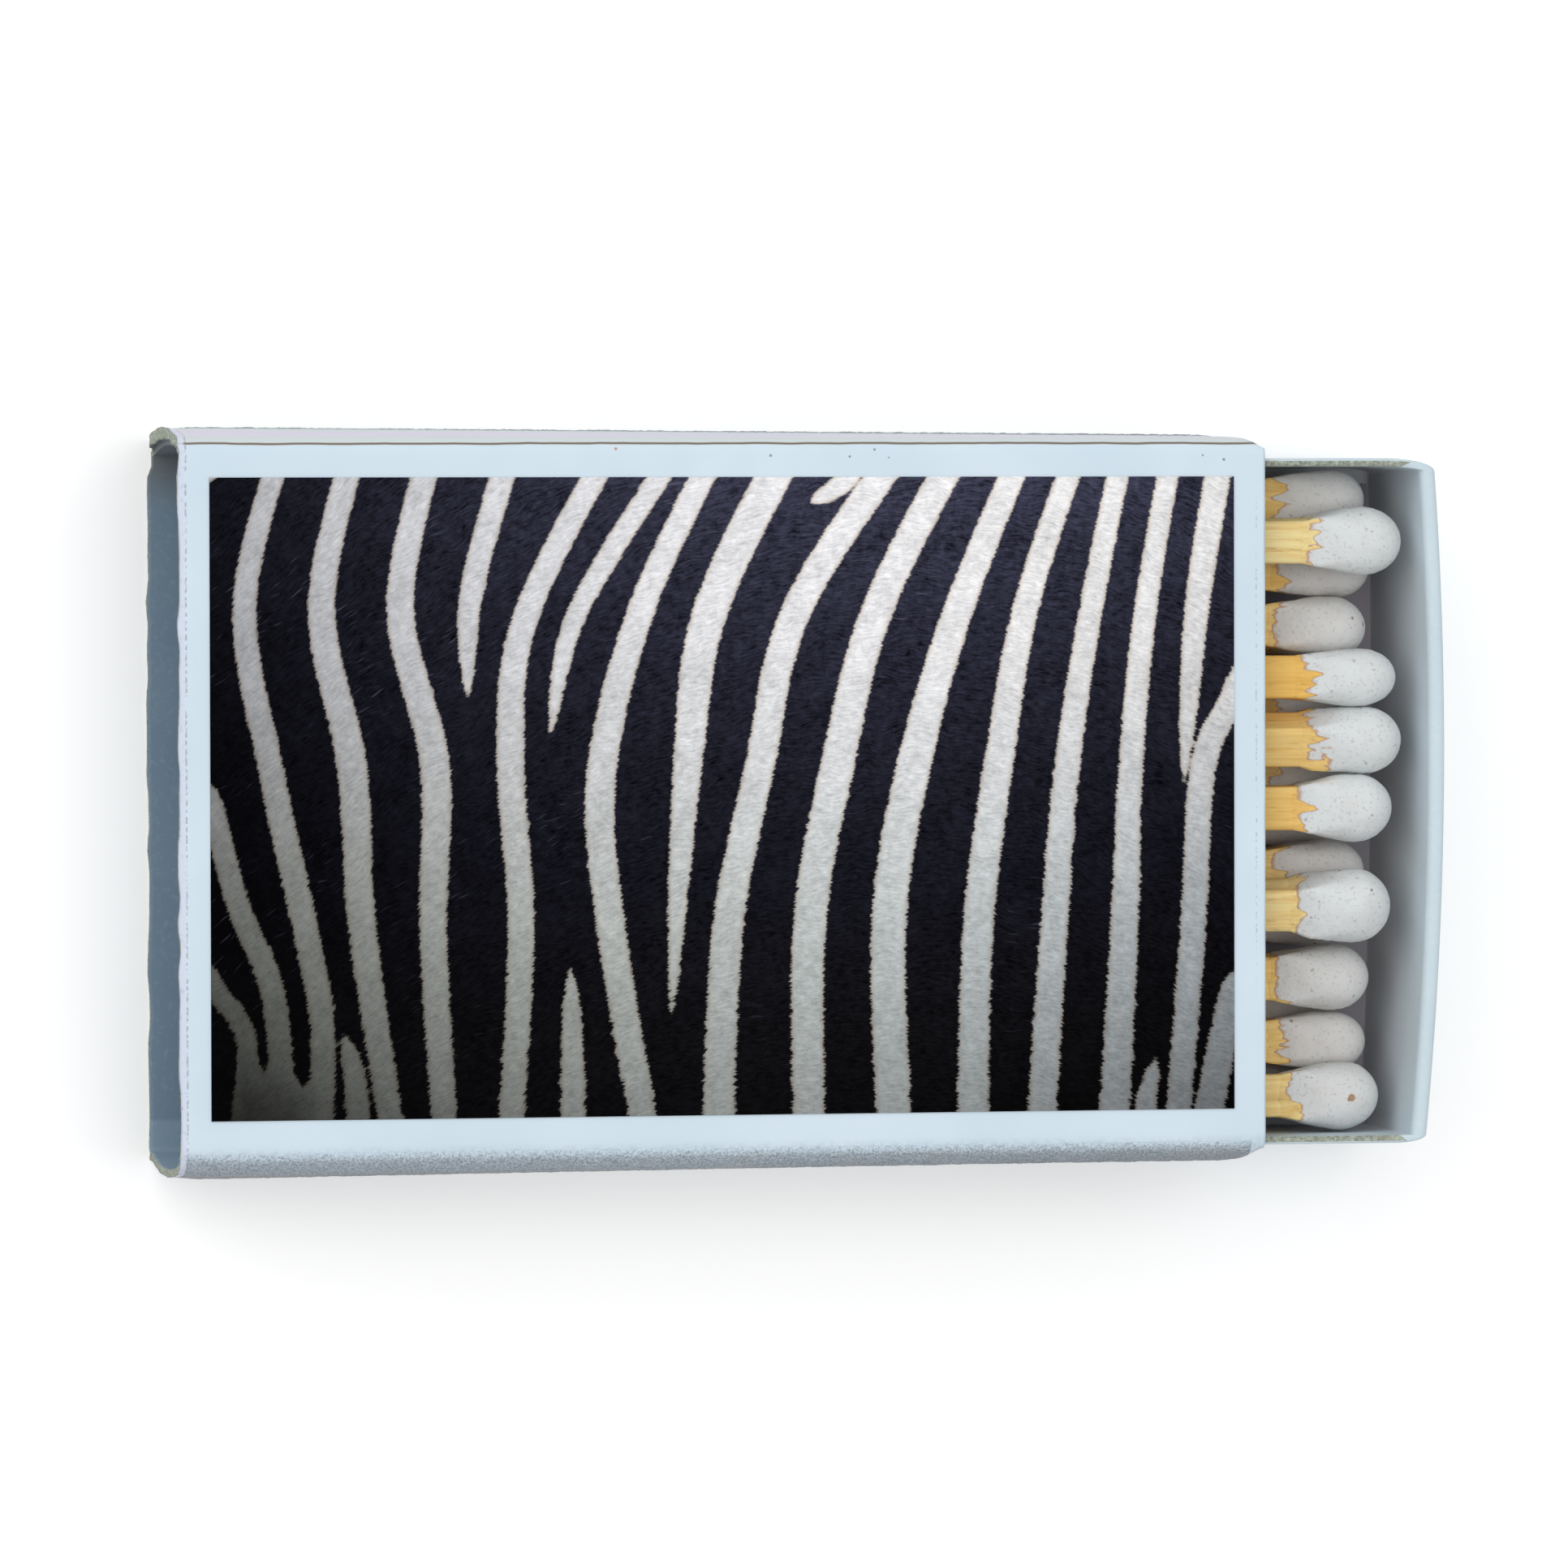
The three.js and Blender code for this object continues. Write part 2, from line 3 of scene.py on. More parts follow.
import bmesh
import bpy
import numpy as np
from mathutils import Euler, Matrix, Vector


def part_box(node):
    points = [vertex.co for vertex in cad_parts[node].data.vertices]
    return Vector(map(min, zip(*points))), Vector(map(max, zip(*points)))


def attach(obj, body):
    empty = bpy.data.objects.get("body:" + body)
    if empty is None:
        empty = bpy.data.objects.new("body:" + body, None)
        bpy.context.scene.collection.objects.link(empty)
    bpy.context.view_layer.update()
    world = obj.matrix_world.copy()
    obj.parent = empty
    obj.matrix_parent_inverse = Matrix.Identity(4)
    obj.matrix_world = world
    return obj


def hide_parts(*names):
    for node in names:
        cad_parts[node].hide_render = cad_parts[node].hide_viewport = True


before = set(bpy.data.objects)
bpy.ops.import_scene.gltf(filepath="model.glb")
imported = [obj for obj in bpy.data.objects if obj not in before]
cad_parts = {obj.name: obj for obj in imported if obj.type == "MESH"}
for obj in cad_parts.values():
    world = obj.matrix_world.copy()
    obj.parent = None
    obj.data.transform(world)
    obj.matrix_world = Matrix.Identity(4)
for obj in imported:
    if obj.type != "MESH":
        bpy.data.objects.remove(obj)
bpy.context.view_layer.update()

# Matchbox: card sleeve with a striped print, striking strips, card tray and dipped matches.
# Metres, in the part's own frame: X towards the open end of the tray, Y across, Z out of the print.

MM = 0.001

# Camera, fitted to the outline of the box in a square picture of 1932 pixels
PICTURE = 1932
CAMERA_PLACE = (-88.42 * MM, 13.28 * MM, 500 * MM)
CAMERA_TURN = (-1.409, -10.583, -0.125)
FOCAL_PIXELS = 12455
SENSOR = 36

# Card of the sleeve
CARD = 0.4 * MM
SLEEVE_WIDTH = 35.7 * MM
BACK_FOLD = 0.7 * MM
TOP_FOLD = 0.75 * MM
WORN_FOLD = 1.25 * MM
LAP_STOP = 1.9 * MM
BOW_AT_EMPTY_END = 0.55 * MM
BOW_AT_TRAY_END = 0.12 * MM
STRIKER_LIFT = 0.15 * MM

# The sleeve's empty end: how far it runs out at the back, how much less at the face, how far its
# upper corner flares, the notch low in that corner, the sag of the face and the loose fibres
EMPTY_END_MARGIN = 0.3 * MM
EMPTY_END_RAKE = 0.08 * MM
END_FLARE = 0.12 * MM
NOTCH_Y = 16 * MM
NOTCH_Z = 1 * MM
NOTCH_DEPTH = 0.26 * MM
END_SAG = 0.09 * MM
END_FIBRES = 0.07 * MM
EDGE_FIBRES = 0.045 * MM

# The sleeve's end by the tray, crushed inwards: its outer skin, its inner skin, and how far along
CRUSH = 0.5 * MM
CRUSH_INSIDE = 0.1 * MM
CRUSH_LENGTH = 1.3 * MM

# Tray
TRAY_OFFSET = 8.75 * MM
TRAY_HALF_LENGTH = 26.6 * MM
UPPER_CORNER = (2.4 * MM, 0.65 * MM)
LOWER_CORNER = (1.5 * MM, 0.42 * MM)
TRAY_FLOOR_FOLD = 0.5 * MM
END_BOW = 0.75 * MM
BOW_AT_FLOOR = 0.4
END_LEAN = 0.3 * MM
RACK = 0.22 * MM
RIM_DRAW = 0.32 * MM
SIDE_RIM_DRAW = 0.12 * MM
CUT_STARTS = 1 * MM
FOOT_FLAP = 6 * MM
FOOT_SIDE_GAP = 0.8 * MM

# Matches. A head is widest at a share of its length, its skirt runs back over the stick, and one
# head has a brown hole.
MATCHES = 20
STICK = 2.2 * MM
HEAD_LENGTH = 4.9 * MM
BULGE_AT = 0.62
SKIRT = 0.6 * MM
HOLE = (31.94 * MM, -15.04 * MM)
SQUARER_HEADS = (6, 9)
# How pale the wood of each stick is, from 0 to 1, used over and over
PALENESS = (0.5, 1.0, 0.35, 0.6, 0.1, 0.5, 0.3, 0.7, 0.9, 0.4, 0.55, 0.8)

# Points: round a fold, on a long side and a face of the sleeve, in the fine rows by each of its
# ends and between them, along a coat and over its fold, and on the tray's corners and walls
ARC_POINTS = 9
WALL_POINTS = 20
FACE_POINTS = 60
END_ROWS = 12
END_ROWS_LENGTH = 1.4 * MM
ROUGH_ROWS = 5
MIDDLE_ROWS = 60
COAT_POINTS = 480
OVER_FOLD_POINTS = 25
CORNER_POINTS = 13
TRAY_SIDE_POINTS = 60
TRAY_WALL_ROWS = 14


def node_size(name):
    """Low and high corner of a solid's box."""
    low, high = (np.array(corner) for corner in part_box(name))
    return low, high


half_length, _, sleeve_top = node_size("sleeve")[1]
half_width = SLEEVE_WIDTH / 2
tray_low, tray_high = node_size("tray")


# Meshes


def mesh_object(name, points, faces, smooth=True):
    """One mesh object at the origin from an array of points and a list of faces."""
    mesh = bpy.data.meshes.new(name)
    mesh.from_pydata(points.tolist(), [], faces)
    mesh.polygons.foreach_set("use_smooth", np.full(len(mesh.polygons), smooth))
    mesh.update()
    piece = bpy.data.objects.new(name, mesh)
    bpy.context.scene.collection.objects.link(piece)
    return piece


def grid_faces(rows, columns, closed=False):
    """Quads of a grid of points numbered row by row. Where closed, each row is a ring."""
    column_count = columns if closed else columns - 1
    i, j = np.meshgrid(np.arange(rows - 1), np.arange(column_count), indexing="ij")
    first = i * columns
    next_j = (j + 1) % columns
    corners = [first + j, first + next_j, first + columns + next_j, first + columns + j]
    return np.stack(corners, axis=-1).reshape(-1, 4)


def rim_faces(rows, columns, offset):
    """Faces that join the border of a grid to the border of its copy, offset points later."""
    top = np.arange(columns)
    right = np.arange(rows) * columns + columns - 1
    bottom = (rows - 1) * columns + np.arange(columns)[::-1]
    left = np.arange(rows)[::-1] * columns
    loop = np.concatenate([top[:-1], right[:-1], bottom[:-1], left[:-1]])
    after = np.roll(loop, -1)
    return np.stack([loop, loop + offset, after + offset, after], axis=-1)


def add_values(piece, name, values):
    """Stores one value for each point of a piece, for its material."""
    layer = piece.data.attributes.new(name, "FLOAT", "POINT")
    layer.data.foreach_set("value", np.asarray(values, dtype=np.float32))


def fix_normals(piece):
    """Turns every face of a closed mesh outwards."""
    work = bmesh.new()
    work.from_mesh(piece.data)
    bmesh.ops.remove_doubles(work, verts=work.verts, dist=1e-7)
    bmesh.ops.recalc_face_normals(work, faces=work.faces)
    work.to_mesh(piece.data)
    work.free()


def finish(piece, materials, kinds, body, nodes):
    """Gives a piece its materials, and sets it on its body in place of the nodes it replaces."""
    fix_normals(piece)
    for material in materials:
        piece.data.materials.append(material)
    if kinds is not None:
        piece.data.polygons.foreach_set("material_index", kinds)
    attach(piece, body)
    if nodes:
        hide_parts(*nodes)


def smooth_noise(shape, cells, seed):
    """Seeded noise on a grid: random values on a coarse lattice, blended by cosine steps."""
    rng = np.random.default_rng(seed)
    lattice = rng.uniform(-1, 1, (cells[0] + 2, cells[1] + 2))
    u = np.linspace(0, cells[0], shape[0])
    v = np.linspace(0, cells[1], shape[1])
    iu = np.minimum(u.astype(int), cells[0])
    iv = np.minimum(v.astype(int), cells[1])
    fu = (0.5 - 0.5 * np.cos(np.pi * (u - iu)))[:, None]
    fv = (0.5 - 0.5 * np.cos(np.pi * (v - iv)))[None, :]
    low = lattice[iu][:, iv] * (1 - fv) + lattice[iu][:, iv + 1] * fv
    high = lattice[iu + 1][:, iv] * (1 - fv) + lattice[iu + 1][:, iv + 1] * fv
    return low * (1 - fu) + high * fu


def loop_noise(count, cells, seed):
    """Noise round a closed loop of points, the same at both ends of the loop."""
    rng = np.random.default_rng(seed)
    knots = rng.uniform(-1, 1, cells)
    at = np.arange(count) / count * cells
    low = at.astype(int)
    blend = 0.5 - 0.5 * np.cos(np.pi * (at - low))
    return knots[low % cells] * (1 - blend) + knots[(low + 1) % cells] * blend


def between_rings(rings, at):
    """Values at places between rings of noise, counted in rings, blended straight."""
    part = at.astype(int)
    blend = (at - part)[:, None]
    return rings[part] * (1 - blend) + rings[part + 1] * blend


def rise(value, low, high):
    """0 below low, 1 above high, smooth between."""
    t = np.clip((value - low) / (high - low), 0, 1)
    return t * t * (3 - 2 * t)


# Shader maths


class Sock:
    """A shader value. Its operators and methods add the nodes that work out a new value."""

    def __init__(self, tree, socket):
        self.tree = tree
        self.socket = socket

    def math(self, operation, *others):
        """A Math node with this value first."""
        values = dict(enumerate((self, *others)))
        return self.tree.add("ShaderNodeMath", {"operation": operation}, values)

    def __add__(self, other):
        return self.math("ADD", other)

    __radd__ = __add__

    def __sub__(self, other):
        return self.math("SUBTRACT", other)

    def __rsub__(self, other):
        return self.tree.add("ShaderNodeMath", {"operation": "SUBTRACT"}, {0: other, 1: self})

    def __mul__(self, other):
        return self.math("MULTIPLY", other)

    __rmul__ = __mul__

    def __truediv__(self, other):
        return self.math("DIVIDE", other)

    def scaled(self, colour):
        """A colour multiplied by this value."""
        colour = colour if isinstance(colour, Sock) else colour[:3]
        return self.tree.add("ShaderNodeVectorMath", {"operation": "SCALE"}, {0: colour, "Scale": self})

    def band(self, centre, half, soft):
        """1 within half of centre, falling to 0 over soft."""
        away = (self - centre).math("ABSOLUTE")
        return 1 - away.step(half, half + soft)

    def step(self, low, high):
        """0 below low, 1 above high, smooth between."""
        values = {"Value": self, "From Min": low, "From Max": high}
        return self.tree.add("ShaderNodeMapRange", {"interpolation_type": "SMOOTHSTEP"}, values)


class Tree:
    """A material and its nodes. Every node comes from add."""

    def __init__(self, name):
        self.material = bpy.data.materials.new(name)
        self.material.use_nodes = True
        self.nodes = self.material.node_tree.nodes
        self.links = self.material.node_tree.links
        self.shader = self.nodes["Principled BSDF"]

    def add(self, kind, settings=None, values=None, output=0):
        """A node of a kind, its settings first and then its inputs, given as one of its outputs."""
        node = self.nodes.new(kind)
        for key, value in (settings or {}).items():
            setattr(node, key, value)
        for key, value in (values or {}).items():
            self.feed(node.inputs[key], value)
        return Sock(self, node.outputs[output])

    def feed(self, socket, value):
        """Links a shader value to an input, or sets a constant on it."""
        if isinstance(value, Sock):
            self.links.new(value.socket, socket)
        else:
            socket.default_value = value

    def set(self, **values):
        """Feeds the material's own inputs, each named with _ for a space."""
        for key, value in values.items():
            self.feed(self.shader.inputs[key.replace("_", " ")], value)

    def place(self):
        """The point on the object."""
        return self.add("ShaderNodeTexCoord", output=3)

    def noise(self, vector, scale, detail=2.0, roughness=0.5):
        """Noise from 0 to 1 with so many cells to the metre."""
        values = {"Vector": vector, "Scale": scale, "Detail": detail, "Roughness": roughness}
        return self.add("ShaderNodeTexNoise", None, values)

    def grain(self, vector, cells, detail, roughness):
        """Noise with a count of cells to the metre for each axis, so that it can be drawn out."""
        stretched = self.add("ShaderNodeMapping", None, {"Vector": vector, "Scale": cells})
        return self.noise(stretched, 1.0, detail, roughness)

    def mix(self, factor, first, second):
        """From the first colour to the second as the factor goes from 0 to 1."""
        settings = {"data_type": "RGBA"}
        return self.add("ShaderNodeMix", settings, {0: factor, 6: first, 7: second}, output=2)

    def bump(self, height, strength, distance):
        """A dented normal."""
        values = {"Height": height, "Strength": strength, "Distance": distance}
        return self.add("ShaderNodeBump", None, values)

    def split(self, vector):
        """The three axes of a point, all from one node."""
        node = self.add("ShaderNodeSeparateXYZ", None, {0: vector}).socket.node
        return tuple(Sock(self, socket) for socket in node.outputs)

    def attribute(self, name):
        """A value stored for each point of the mesh."""
        return self.add("ShaderNodeAttribute", {"attribute_name": name}, output=2)


def rgb(red, green, blue):
    """A linear colour from 0 to 255 display values."""
    def linear(value):
        value /= 255
        return value / 12.92 if value <= 0.04045 else ((value + 0.055) / 1.055) ** 2.4
    return (linear(red), linear(green), linear(blue), 1)


# Materials

# Specks on the face: place and radius in millimetres, and colour
SPECKS = [
    (-5.6, 17.35, 0.09, rgb(196, 118, 60)),
    (24.91, 16.79, 0.08, rgb(112, 104, 104)),
    (23.84, 17.0, 0.06, rgb(130, 122, 120)),
    (6.05, 16.95, 0.07, rgb(120, 116, 120)),
    (2.1, 17.0, 0.08, rgb(132, 126, 128)),
    (7.3, 17.3, 0.07, rgb(120, 112, 108)),
    (8.0, 16.9, 0.05, rgb(140, 132, 130)),
    (-27.1, -14.72, 0.1, rgb(150, 100, 96)),
    (-27.05, -17.4, 0.12, rgb(140, 96, 88)),
]


def card_outside():
    """Coated card, icy white. A brown line of painted shadow, for the gap there, runs along the upper
    fold with mint and lavender beyond it, a crease and a band of bared card follow the empty end, and a
    few specks lie on the face."""
    tree = Tree("card_outside")
    place = tree.place()
    x, y, z = (axis * (1 / MM) for axis in tree.split(place))
    cloud = tree.noise(place, 150, 3)
    fibre = tree.noise(place, 2600, 3, 0.6)
    fine = tree.noise(place, 5200, 2, 0.5)
    wander = (tree.noise(place, 420, 2) - 0.5) * 0.12
    base = tree.mix(cloud.step(0.3, 0.7), rgb(211, 229, 241), rgb(219, 235, 246))
    base = tree.mix((y + wander).step(17.6, 17.75), base, rgb(212, 223, 222))
    base = tree.mix(z.band(9.8, 0.6, 1.6), base, rgb(221, 218, 234))
    # Painted shadow: a thin brown line in the gap along the upper fold, by the face
    base = tree.mix((y + wander).band(17.6, 0.02, 0.07) * z.step(11.2, 11.5), base, rgb(128, 112, 96))
    bared = 1 - (x + wander * 0.5).step(-26.95, -26.8)
    base = tree.mix(bared * 0.8, base, rgb(216, 221, 240))
    base = tree.mix(bared * fibre.step(0.55, 0.7) * 0.3, base, rgb(168, 176, 190))
    crease = (x + wander * 0.4).band(-26.8, 0.015, 0.06) * fine.step(0.4, 0.6)
    base = tree.mix(crease * 0.6, base, rgb(142, 138, 136))
    far_crease = (x + wander * 0.5).band(26.55, 0.01, 0.05) * fine.step(0.48, 0.62) * y.band(3, 9, 5)
    base = tree.mix(far_crease * 0.5, base, rgb(150, 155, 158))
    nick = y.band(12.25, 1.4, 0.1) * (1 - x.step(-27.16, -27.1))
    base = tree.mix(nick, base, rgb(243, 246, 252))
    grime = (1 - y.step(-17.2, -16.6)) * fibre.step(0.4, 0.65)
    base = tree.mix(grime * 0.35, base, rgb(150, 152, 156))
    for speck_x, speck_y, size, colour in SPECKS:
        away = tree.add("ShaderNodeVectorMath", {"operation": "DISTANCE"}, {
            0: place, 1: (speck_x * MM, speck_y * MM, sleeve_top),
        }, output=1) * (1 / MM)
        base = tree.mix((1 - (away + wander * 0.3).step(size * 0.5, size * 1.3)) * 0.8, base, colour)
    tree.set(Base_Color=base, Roughness=0.45 + cloud * 0.2, Specular_IOR_Level=0.25)
    tree.set(Normal=tree.bump(fibre, 0.2, 0.00002))
    return tree.material


def card_inside():
    """Bare inside of the sleeve's card: grey-blue and rough, with painted shadow that makes it browner
    and darker by the upper side, and painted light that makes it lighter by the lower fold.
    """
    tree = Tree("card_inside")
    place = tree.place()
    _, y, _ = (axis * (1 / MM) for axis in tree.split(place))
    cloud = tree.noise(place, 260, 4)
    fibre = tree.noise(place, 3000, 3, 0.7)
    base = tree.mix(cloud, rgb(120, 142, 160), rgb(134, 154, 170))
    base = tree.mix(fibre.step(0.5, 0.8) * 0.4, base, rgb(165, 178, 188))
    # Painted shadow: browner and darker by the upper side, where that wall keeps the light off
    base = tree.mix(y.step(14, 17) * 0.6, base, rgb(118, 112, 102))
    # Painted light: lighter low down by the lower fold, as from light bounced in there
    base = tree.mix((1 - y.step(-16.1, -15.8)) * 0.3, base, rgb(170, 192, 208))
    tree.set(Base_Color=base, Roughness=0.85, Specular_IOR_Level=0.15)
    tree.set(Normal=tree.bump(fibre, 0.5, 0.00004))
    return tree.material


def card_edge():
    """Cut edge of card: grey-green pulp with pale and dark fibres."""
    tree = Tree("card_edge")
    place = tree.place()
    fibre = tree.noise(place, 5200, 4, 0.75)
    cloud = tree.noise(place, 900, 2)
    base = tree.mix(fibre.step(0.3, 0.7), rgb(126, 132, 120), rgb(194, 202, 190))
    base = tree.mix(cloud.step(0.5, 0.7) * 0.4, base, rgb(158, 152, 128))
    tree.set(Base_Color=base, Roughness=0.9, Specular_IOR_Level=0.1)
    tree.set(Normal=tree.bump(fibre, 0.8, 0.00006))
    return tree.material


def tray_card():
    """Tray card: pale bluish white outside, with fine fibres. Painted shade in the well: warmer and a
    little darker down the inner walls, and grey on the foot flaps.
    """
    tree = Tree("tray_card")
    place = tree.place()
    low = tree.attribute("low")
    cloud = tree.noise(place, 240, 4)
    fibre = tree.noise(place, 2800, 3, 0.7)
    base = tree.mix(cloud, rgb(204, 221, 229), rgb(215, 231, 239))
    base = tree.mix(fibre.step(0.45, 0.8) * 0.3, base, rgb(232, 240, 244))
    # Painted shade of the well, by the low attribute: warmer and a little darker down the inner walls,
    # grey on the foot flaps
    base = tree.mix(low * 0.5, base, rgb(222, 212, 214))
    base = tree.mix(low.step(1.2, 2) * 0.9, base, rgb(168, 164, 172))
    tree.set(Base_Color=base, Roughness=0.8, Specular_IOR_Level=0.2)
    tree.set(Normal=tree.bump(fibre, 0.35, 0.00003))
    return tree.material


def striking_coat():
    """Gritty silver-grey striking coat with pale and dark grains, thinning out at its front edge."""
    tree = Tree("striking_coat")
    place = tree.place()
    x, y, z = (axis * (1 / MM) for axis in tree.split(place))
    grain = tree.noise(place, 9500, 2, 0.6)
    grit = tree.noise(place, 5200, 3, 0.7)
    cloud = tree.noise(place, 300, 3)
    base = tree.mix(grain.step(0.3, 0.7), rgb(138, 149, 160), rgb(190, 200, 209))
    base = tree.mix(grit.step(0.55, 0.7) * 0.35, base, rgb(116, 124, 134))
    base = tree.mix(cloud.step(0.5, 0.75) * 0.2, base, rgb(176, 172, 166))
    base = tree.mix((1 - z.step(9.5, 11.6)) * 0.5, base, rgb(146, 138, 130))
    base = tree.mix(x.step(-5, 25) * 0.3, base, rgb(116, 120, 124))
    worn = (grit + grain - 1) * 0.9
    thin = (y + worn).step(-17.6, -16.75) * (1 - y.step(0, 1)) + y.step(0, 1) * (z + worn).step(5.1, 5.6)
    base = tree.mix(thin * 0.95, base, rgb(211, 229, 241))
    tree.set(Base_Color=base, Roughness=0.75, Specular_IOR_Level=0.3)
    tree.set(Normal=tree.bump(grain + grit, 0.35, 0.00004))
    return tree.material


def striped_print():
    """Printed fur: dark between light stripes. gap is the distance in millimetres to the nearest
    stripe's edge, negative inside a stripe, and noise drawn out along the hairs roughens it. depth
    grows down the panel, across grows along it, and lean turns the hairs."""
    tree = Tree("striped_print")
    place = tree.place()
    gap = tree.attribute("gap")
    light_shade = tree.attribute("light_shade")
    dark_shade = tree.attribute("dark_shade")
    depth = tree.attribute("depth")
    across = tree.attribute("across")
    lean = tree.attribute("lean")
    x, y, _ = tree.split(place)
    drift = (tree.noise(place, 420, 2) - 0.5) * 0.0011
    hairs = tree.add("ShaderNodeCombineXYZ", None, {0: x + y * lean, 1: y - x * lean + drift, 2: 0.0})
    fine = tree.grain(hairs, (1700, 8400, 1), 2, 0.7) - 0.5
    coarse = tree.grain(hairs, (600, 2600, 1), 2, 0.6) - 0.5
    stray = tree.grain(hairs, (700, 8000, 1), 1, 0.5)
    patch = tree.noise(place, 120, 2)
    mottle = tree.noise(place, 2600, 2, 0.7) - 0.5
    cloud = tree.noise(place, 420, 3, 0.6) - 0.5
    ragged = gap + fine * (0.3 + 0.25 * depth) + coarse * (0.2 + 0.24 * depth)
    dark = ragged.step(-0.08, 0.07)
    fringe = ragged.step(-0.24, -0.02)
    light_shade = light_shade * (1.02 + 0.9 * fine + 0.6 * mottle + 0.4 * cloud + 0.3 * coarse)
    high_tint = tree.mix(across, rgb(248, 249, 255), rgb(255, 254, 254))
    low_tint = tree.mix(across, rgb(250, 255, 244), rgb(240, 249, 255))
    light = light_shade.scaled(tree.mix(depth.step(0.1, 0.75), high_tint, low_tint))
    light = tree.mix(fringe * 0.45, light, light_shade.scaled(rgb(222, 198, 172)))
    dark_shade = dark_shade * (1.05 + 3.2 * fine + 1.8 * mottle + 1.2 * cloud)
    dark_shade = dark_shade.math("MAXIMUM", 0.0012)
    tint = tree.mix(depth.step(0.45, 1.0), rgb(200, 202, 255), rgb(236, 232, 255))
    ground = dark_shade.scaled(tint)
    glint = stray.step(0.66, 0.74) * patch.step(0.45, 0.6) * (1 - depth)
    ground = tree.mix(glint * 0.5, ground, rgb(96, 98, 118))
    tree.set(Base_Color=tree.mix(dark, light, ground), Roughness=0.5, Specular_IOR_Level=0.01)
    tree.set(Normal=tree.bump(fine, 0.08, 0.00001))
    return tree.material


def wood_colour(tree, place, tint):
    """Split aspen, golden, with long straight grain and darker streaks; also gives its grain."""
    grain = tree.grain(place, (90, 3400, 3400), 4, 0.65)
    streak = tree.grain(place, (45, 900, 900), 3, 0.6)
    pore = tree.grain(place, (700, 6500, 6500), 2, 0.6)
    base = tree.mix(tint, rgb(246, 196, 100), rgb(252, 232, 168))
    base = tree.mix(grain.step(0.35, 0.7) * 0.5, base, rgb(222, 166, 76))
    base = tree.mix(streak.step(0.55, 0.75) * 0.4, base, rgb(192, 136, 66))
    base = tree.mix(pore.step(0.6, 0.74) * 0.35, base, rgb(156, 108, 54))
    return base, grain


def splint_wood():
    """Bare wood of the sticks."""
    tree = Tree("splint_wood")
    place = tree.place()
    base, grain = wood_colour(tree, place, tree.attribute("tint"))
    tree.set(Base_Color=base, Roughness=0.6 + grain * 0.2, Specular_IOR_Level=0.25)
    tree.set(Normal=tree.bump(grain, 0.5, 0.00005))
    return tree.material


def match_head():
    """Dried head composition: chalky off-white with fine grey-brown specks and brown pinholes, with
    painted shade by the height attribute: heads lower in the tray greyer and warmer, higher ones whiter.
    The along attribute, millimetres from the stick's end, and noise drawn out along the stick give the
    jagged border where bare wood runs up into the coat, with a brown stain beside it."""
    tree = Tree("match_head")
    place = tree.place()
    height = tree.attribute("height")
    along = tree.attribute("along")
    wood, _ = wood_colour(tree, place, tree.attribute("tint"))
    cloud = tree.noise(place, 700, 3)
    speck = tree.noise(place, 5600, 2, 0.6)
    spot = tree.noise(place, 2600, 1, 0.5)
    pinhole = tree.add("ShaderNodeTexVoronoi", {"feature": "F1"}, {"Vector": place, "Scale": 700.0})
    tongue = tree.grain(place, (60, 1000, 1000), 2, 0.6)
    chips = tree.noise(place, 2600, 2, 0.6)
    border = along - tongue.step(0.45, 0.72) * 1.1 + 0.05 + (chips - 0.5) * 0.45
    # Painted shade: heads low in the pile greyer and warmer, heads high in it whiter, by the height
    # attribute
    coat = tree.mix(height, rgb(214, 207, 202), rgb(226, 233, 235))
    coat = tree.mix(cloud.step(0.4, 0.75) * 0.3, coat, rgb(208, 204, 200))
    coat = tree.mix(speck.step(0.56, 0.7) * 0.35, coat, rgb(160, 156, 152))
    coat = tree.mix(spot.step(0.72, 0.77) * 0.4, coat, rgb(132, 120, 110))
    coat = tree.mix((1 - pinhole.step(0.04, 0.09)) * 0.75, coat, rgb(122, 96, 70))
    x, y, _ = tree.split(place)
    away = ((x - HOLE[0]) * (x - HOLE[0]) + (y - HOLE[1]) * (y - HOLE[1])).math("SQRT")
    coat = tree.mix((1 - away.step(0.14 * MM, 0.24 * MM)) * 0.9, coat, rgb(168, 130, 92))
    stain = border.band(0.02, 0.02, 0.2)
    coat = tree.mix(stain * 0.7, coat, rgb(190, 128, 66))
    bare = 1 - border.step(-0.03, 0.03)
    tree.set(Base_Color=tree.mix(bare, coat, wood), Roughness=0.75, Specular_IOR_Level=0.2)
    grit = tree.noise(place, 3800, 3, 0.7)
    tree.set(Normal=tree.bump(grit * 0.7 + cloud * 0.5 - bare * 0.4, 0.45, 0.00008))
    return tree.material


# Sleeve


def arc(centre, radius, start, count):
    """Quarter circle of points about a centre, from a start angle. Two radii give an ellipse."""
    angle = start + np.linspace(0, math.pi / 2, count)
    return np.array(centre) + np.array(radius) * np.stack([np.cos(angle), np.sin(angle)], axis=-1)


def straight(first, last, count):
    """Points from first to last, leaving out both ends."""
    share = np.linspace(0, 1, count + 2)[1:-1, None]
    return np.array(first) * (1 - share) + np.array(last) * share


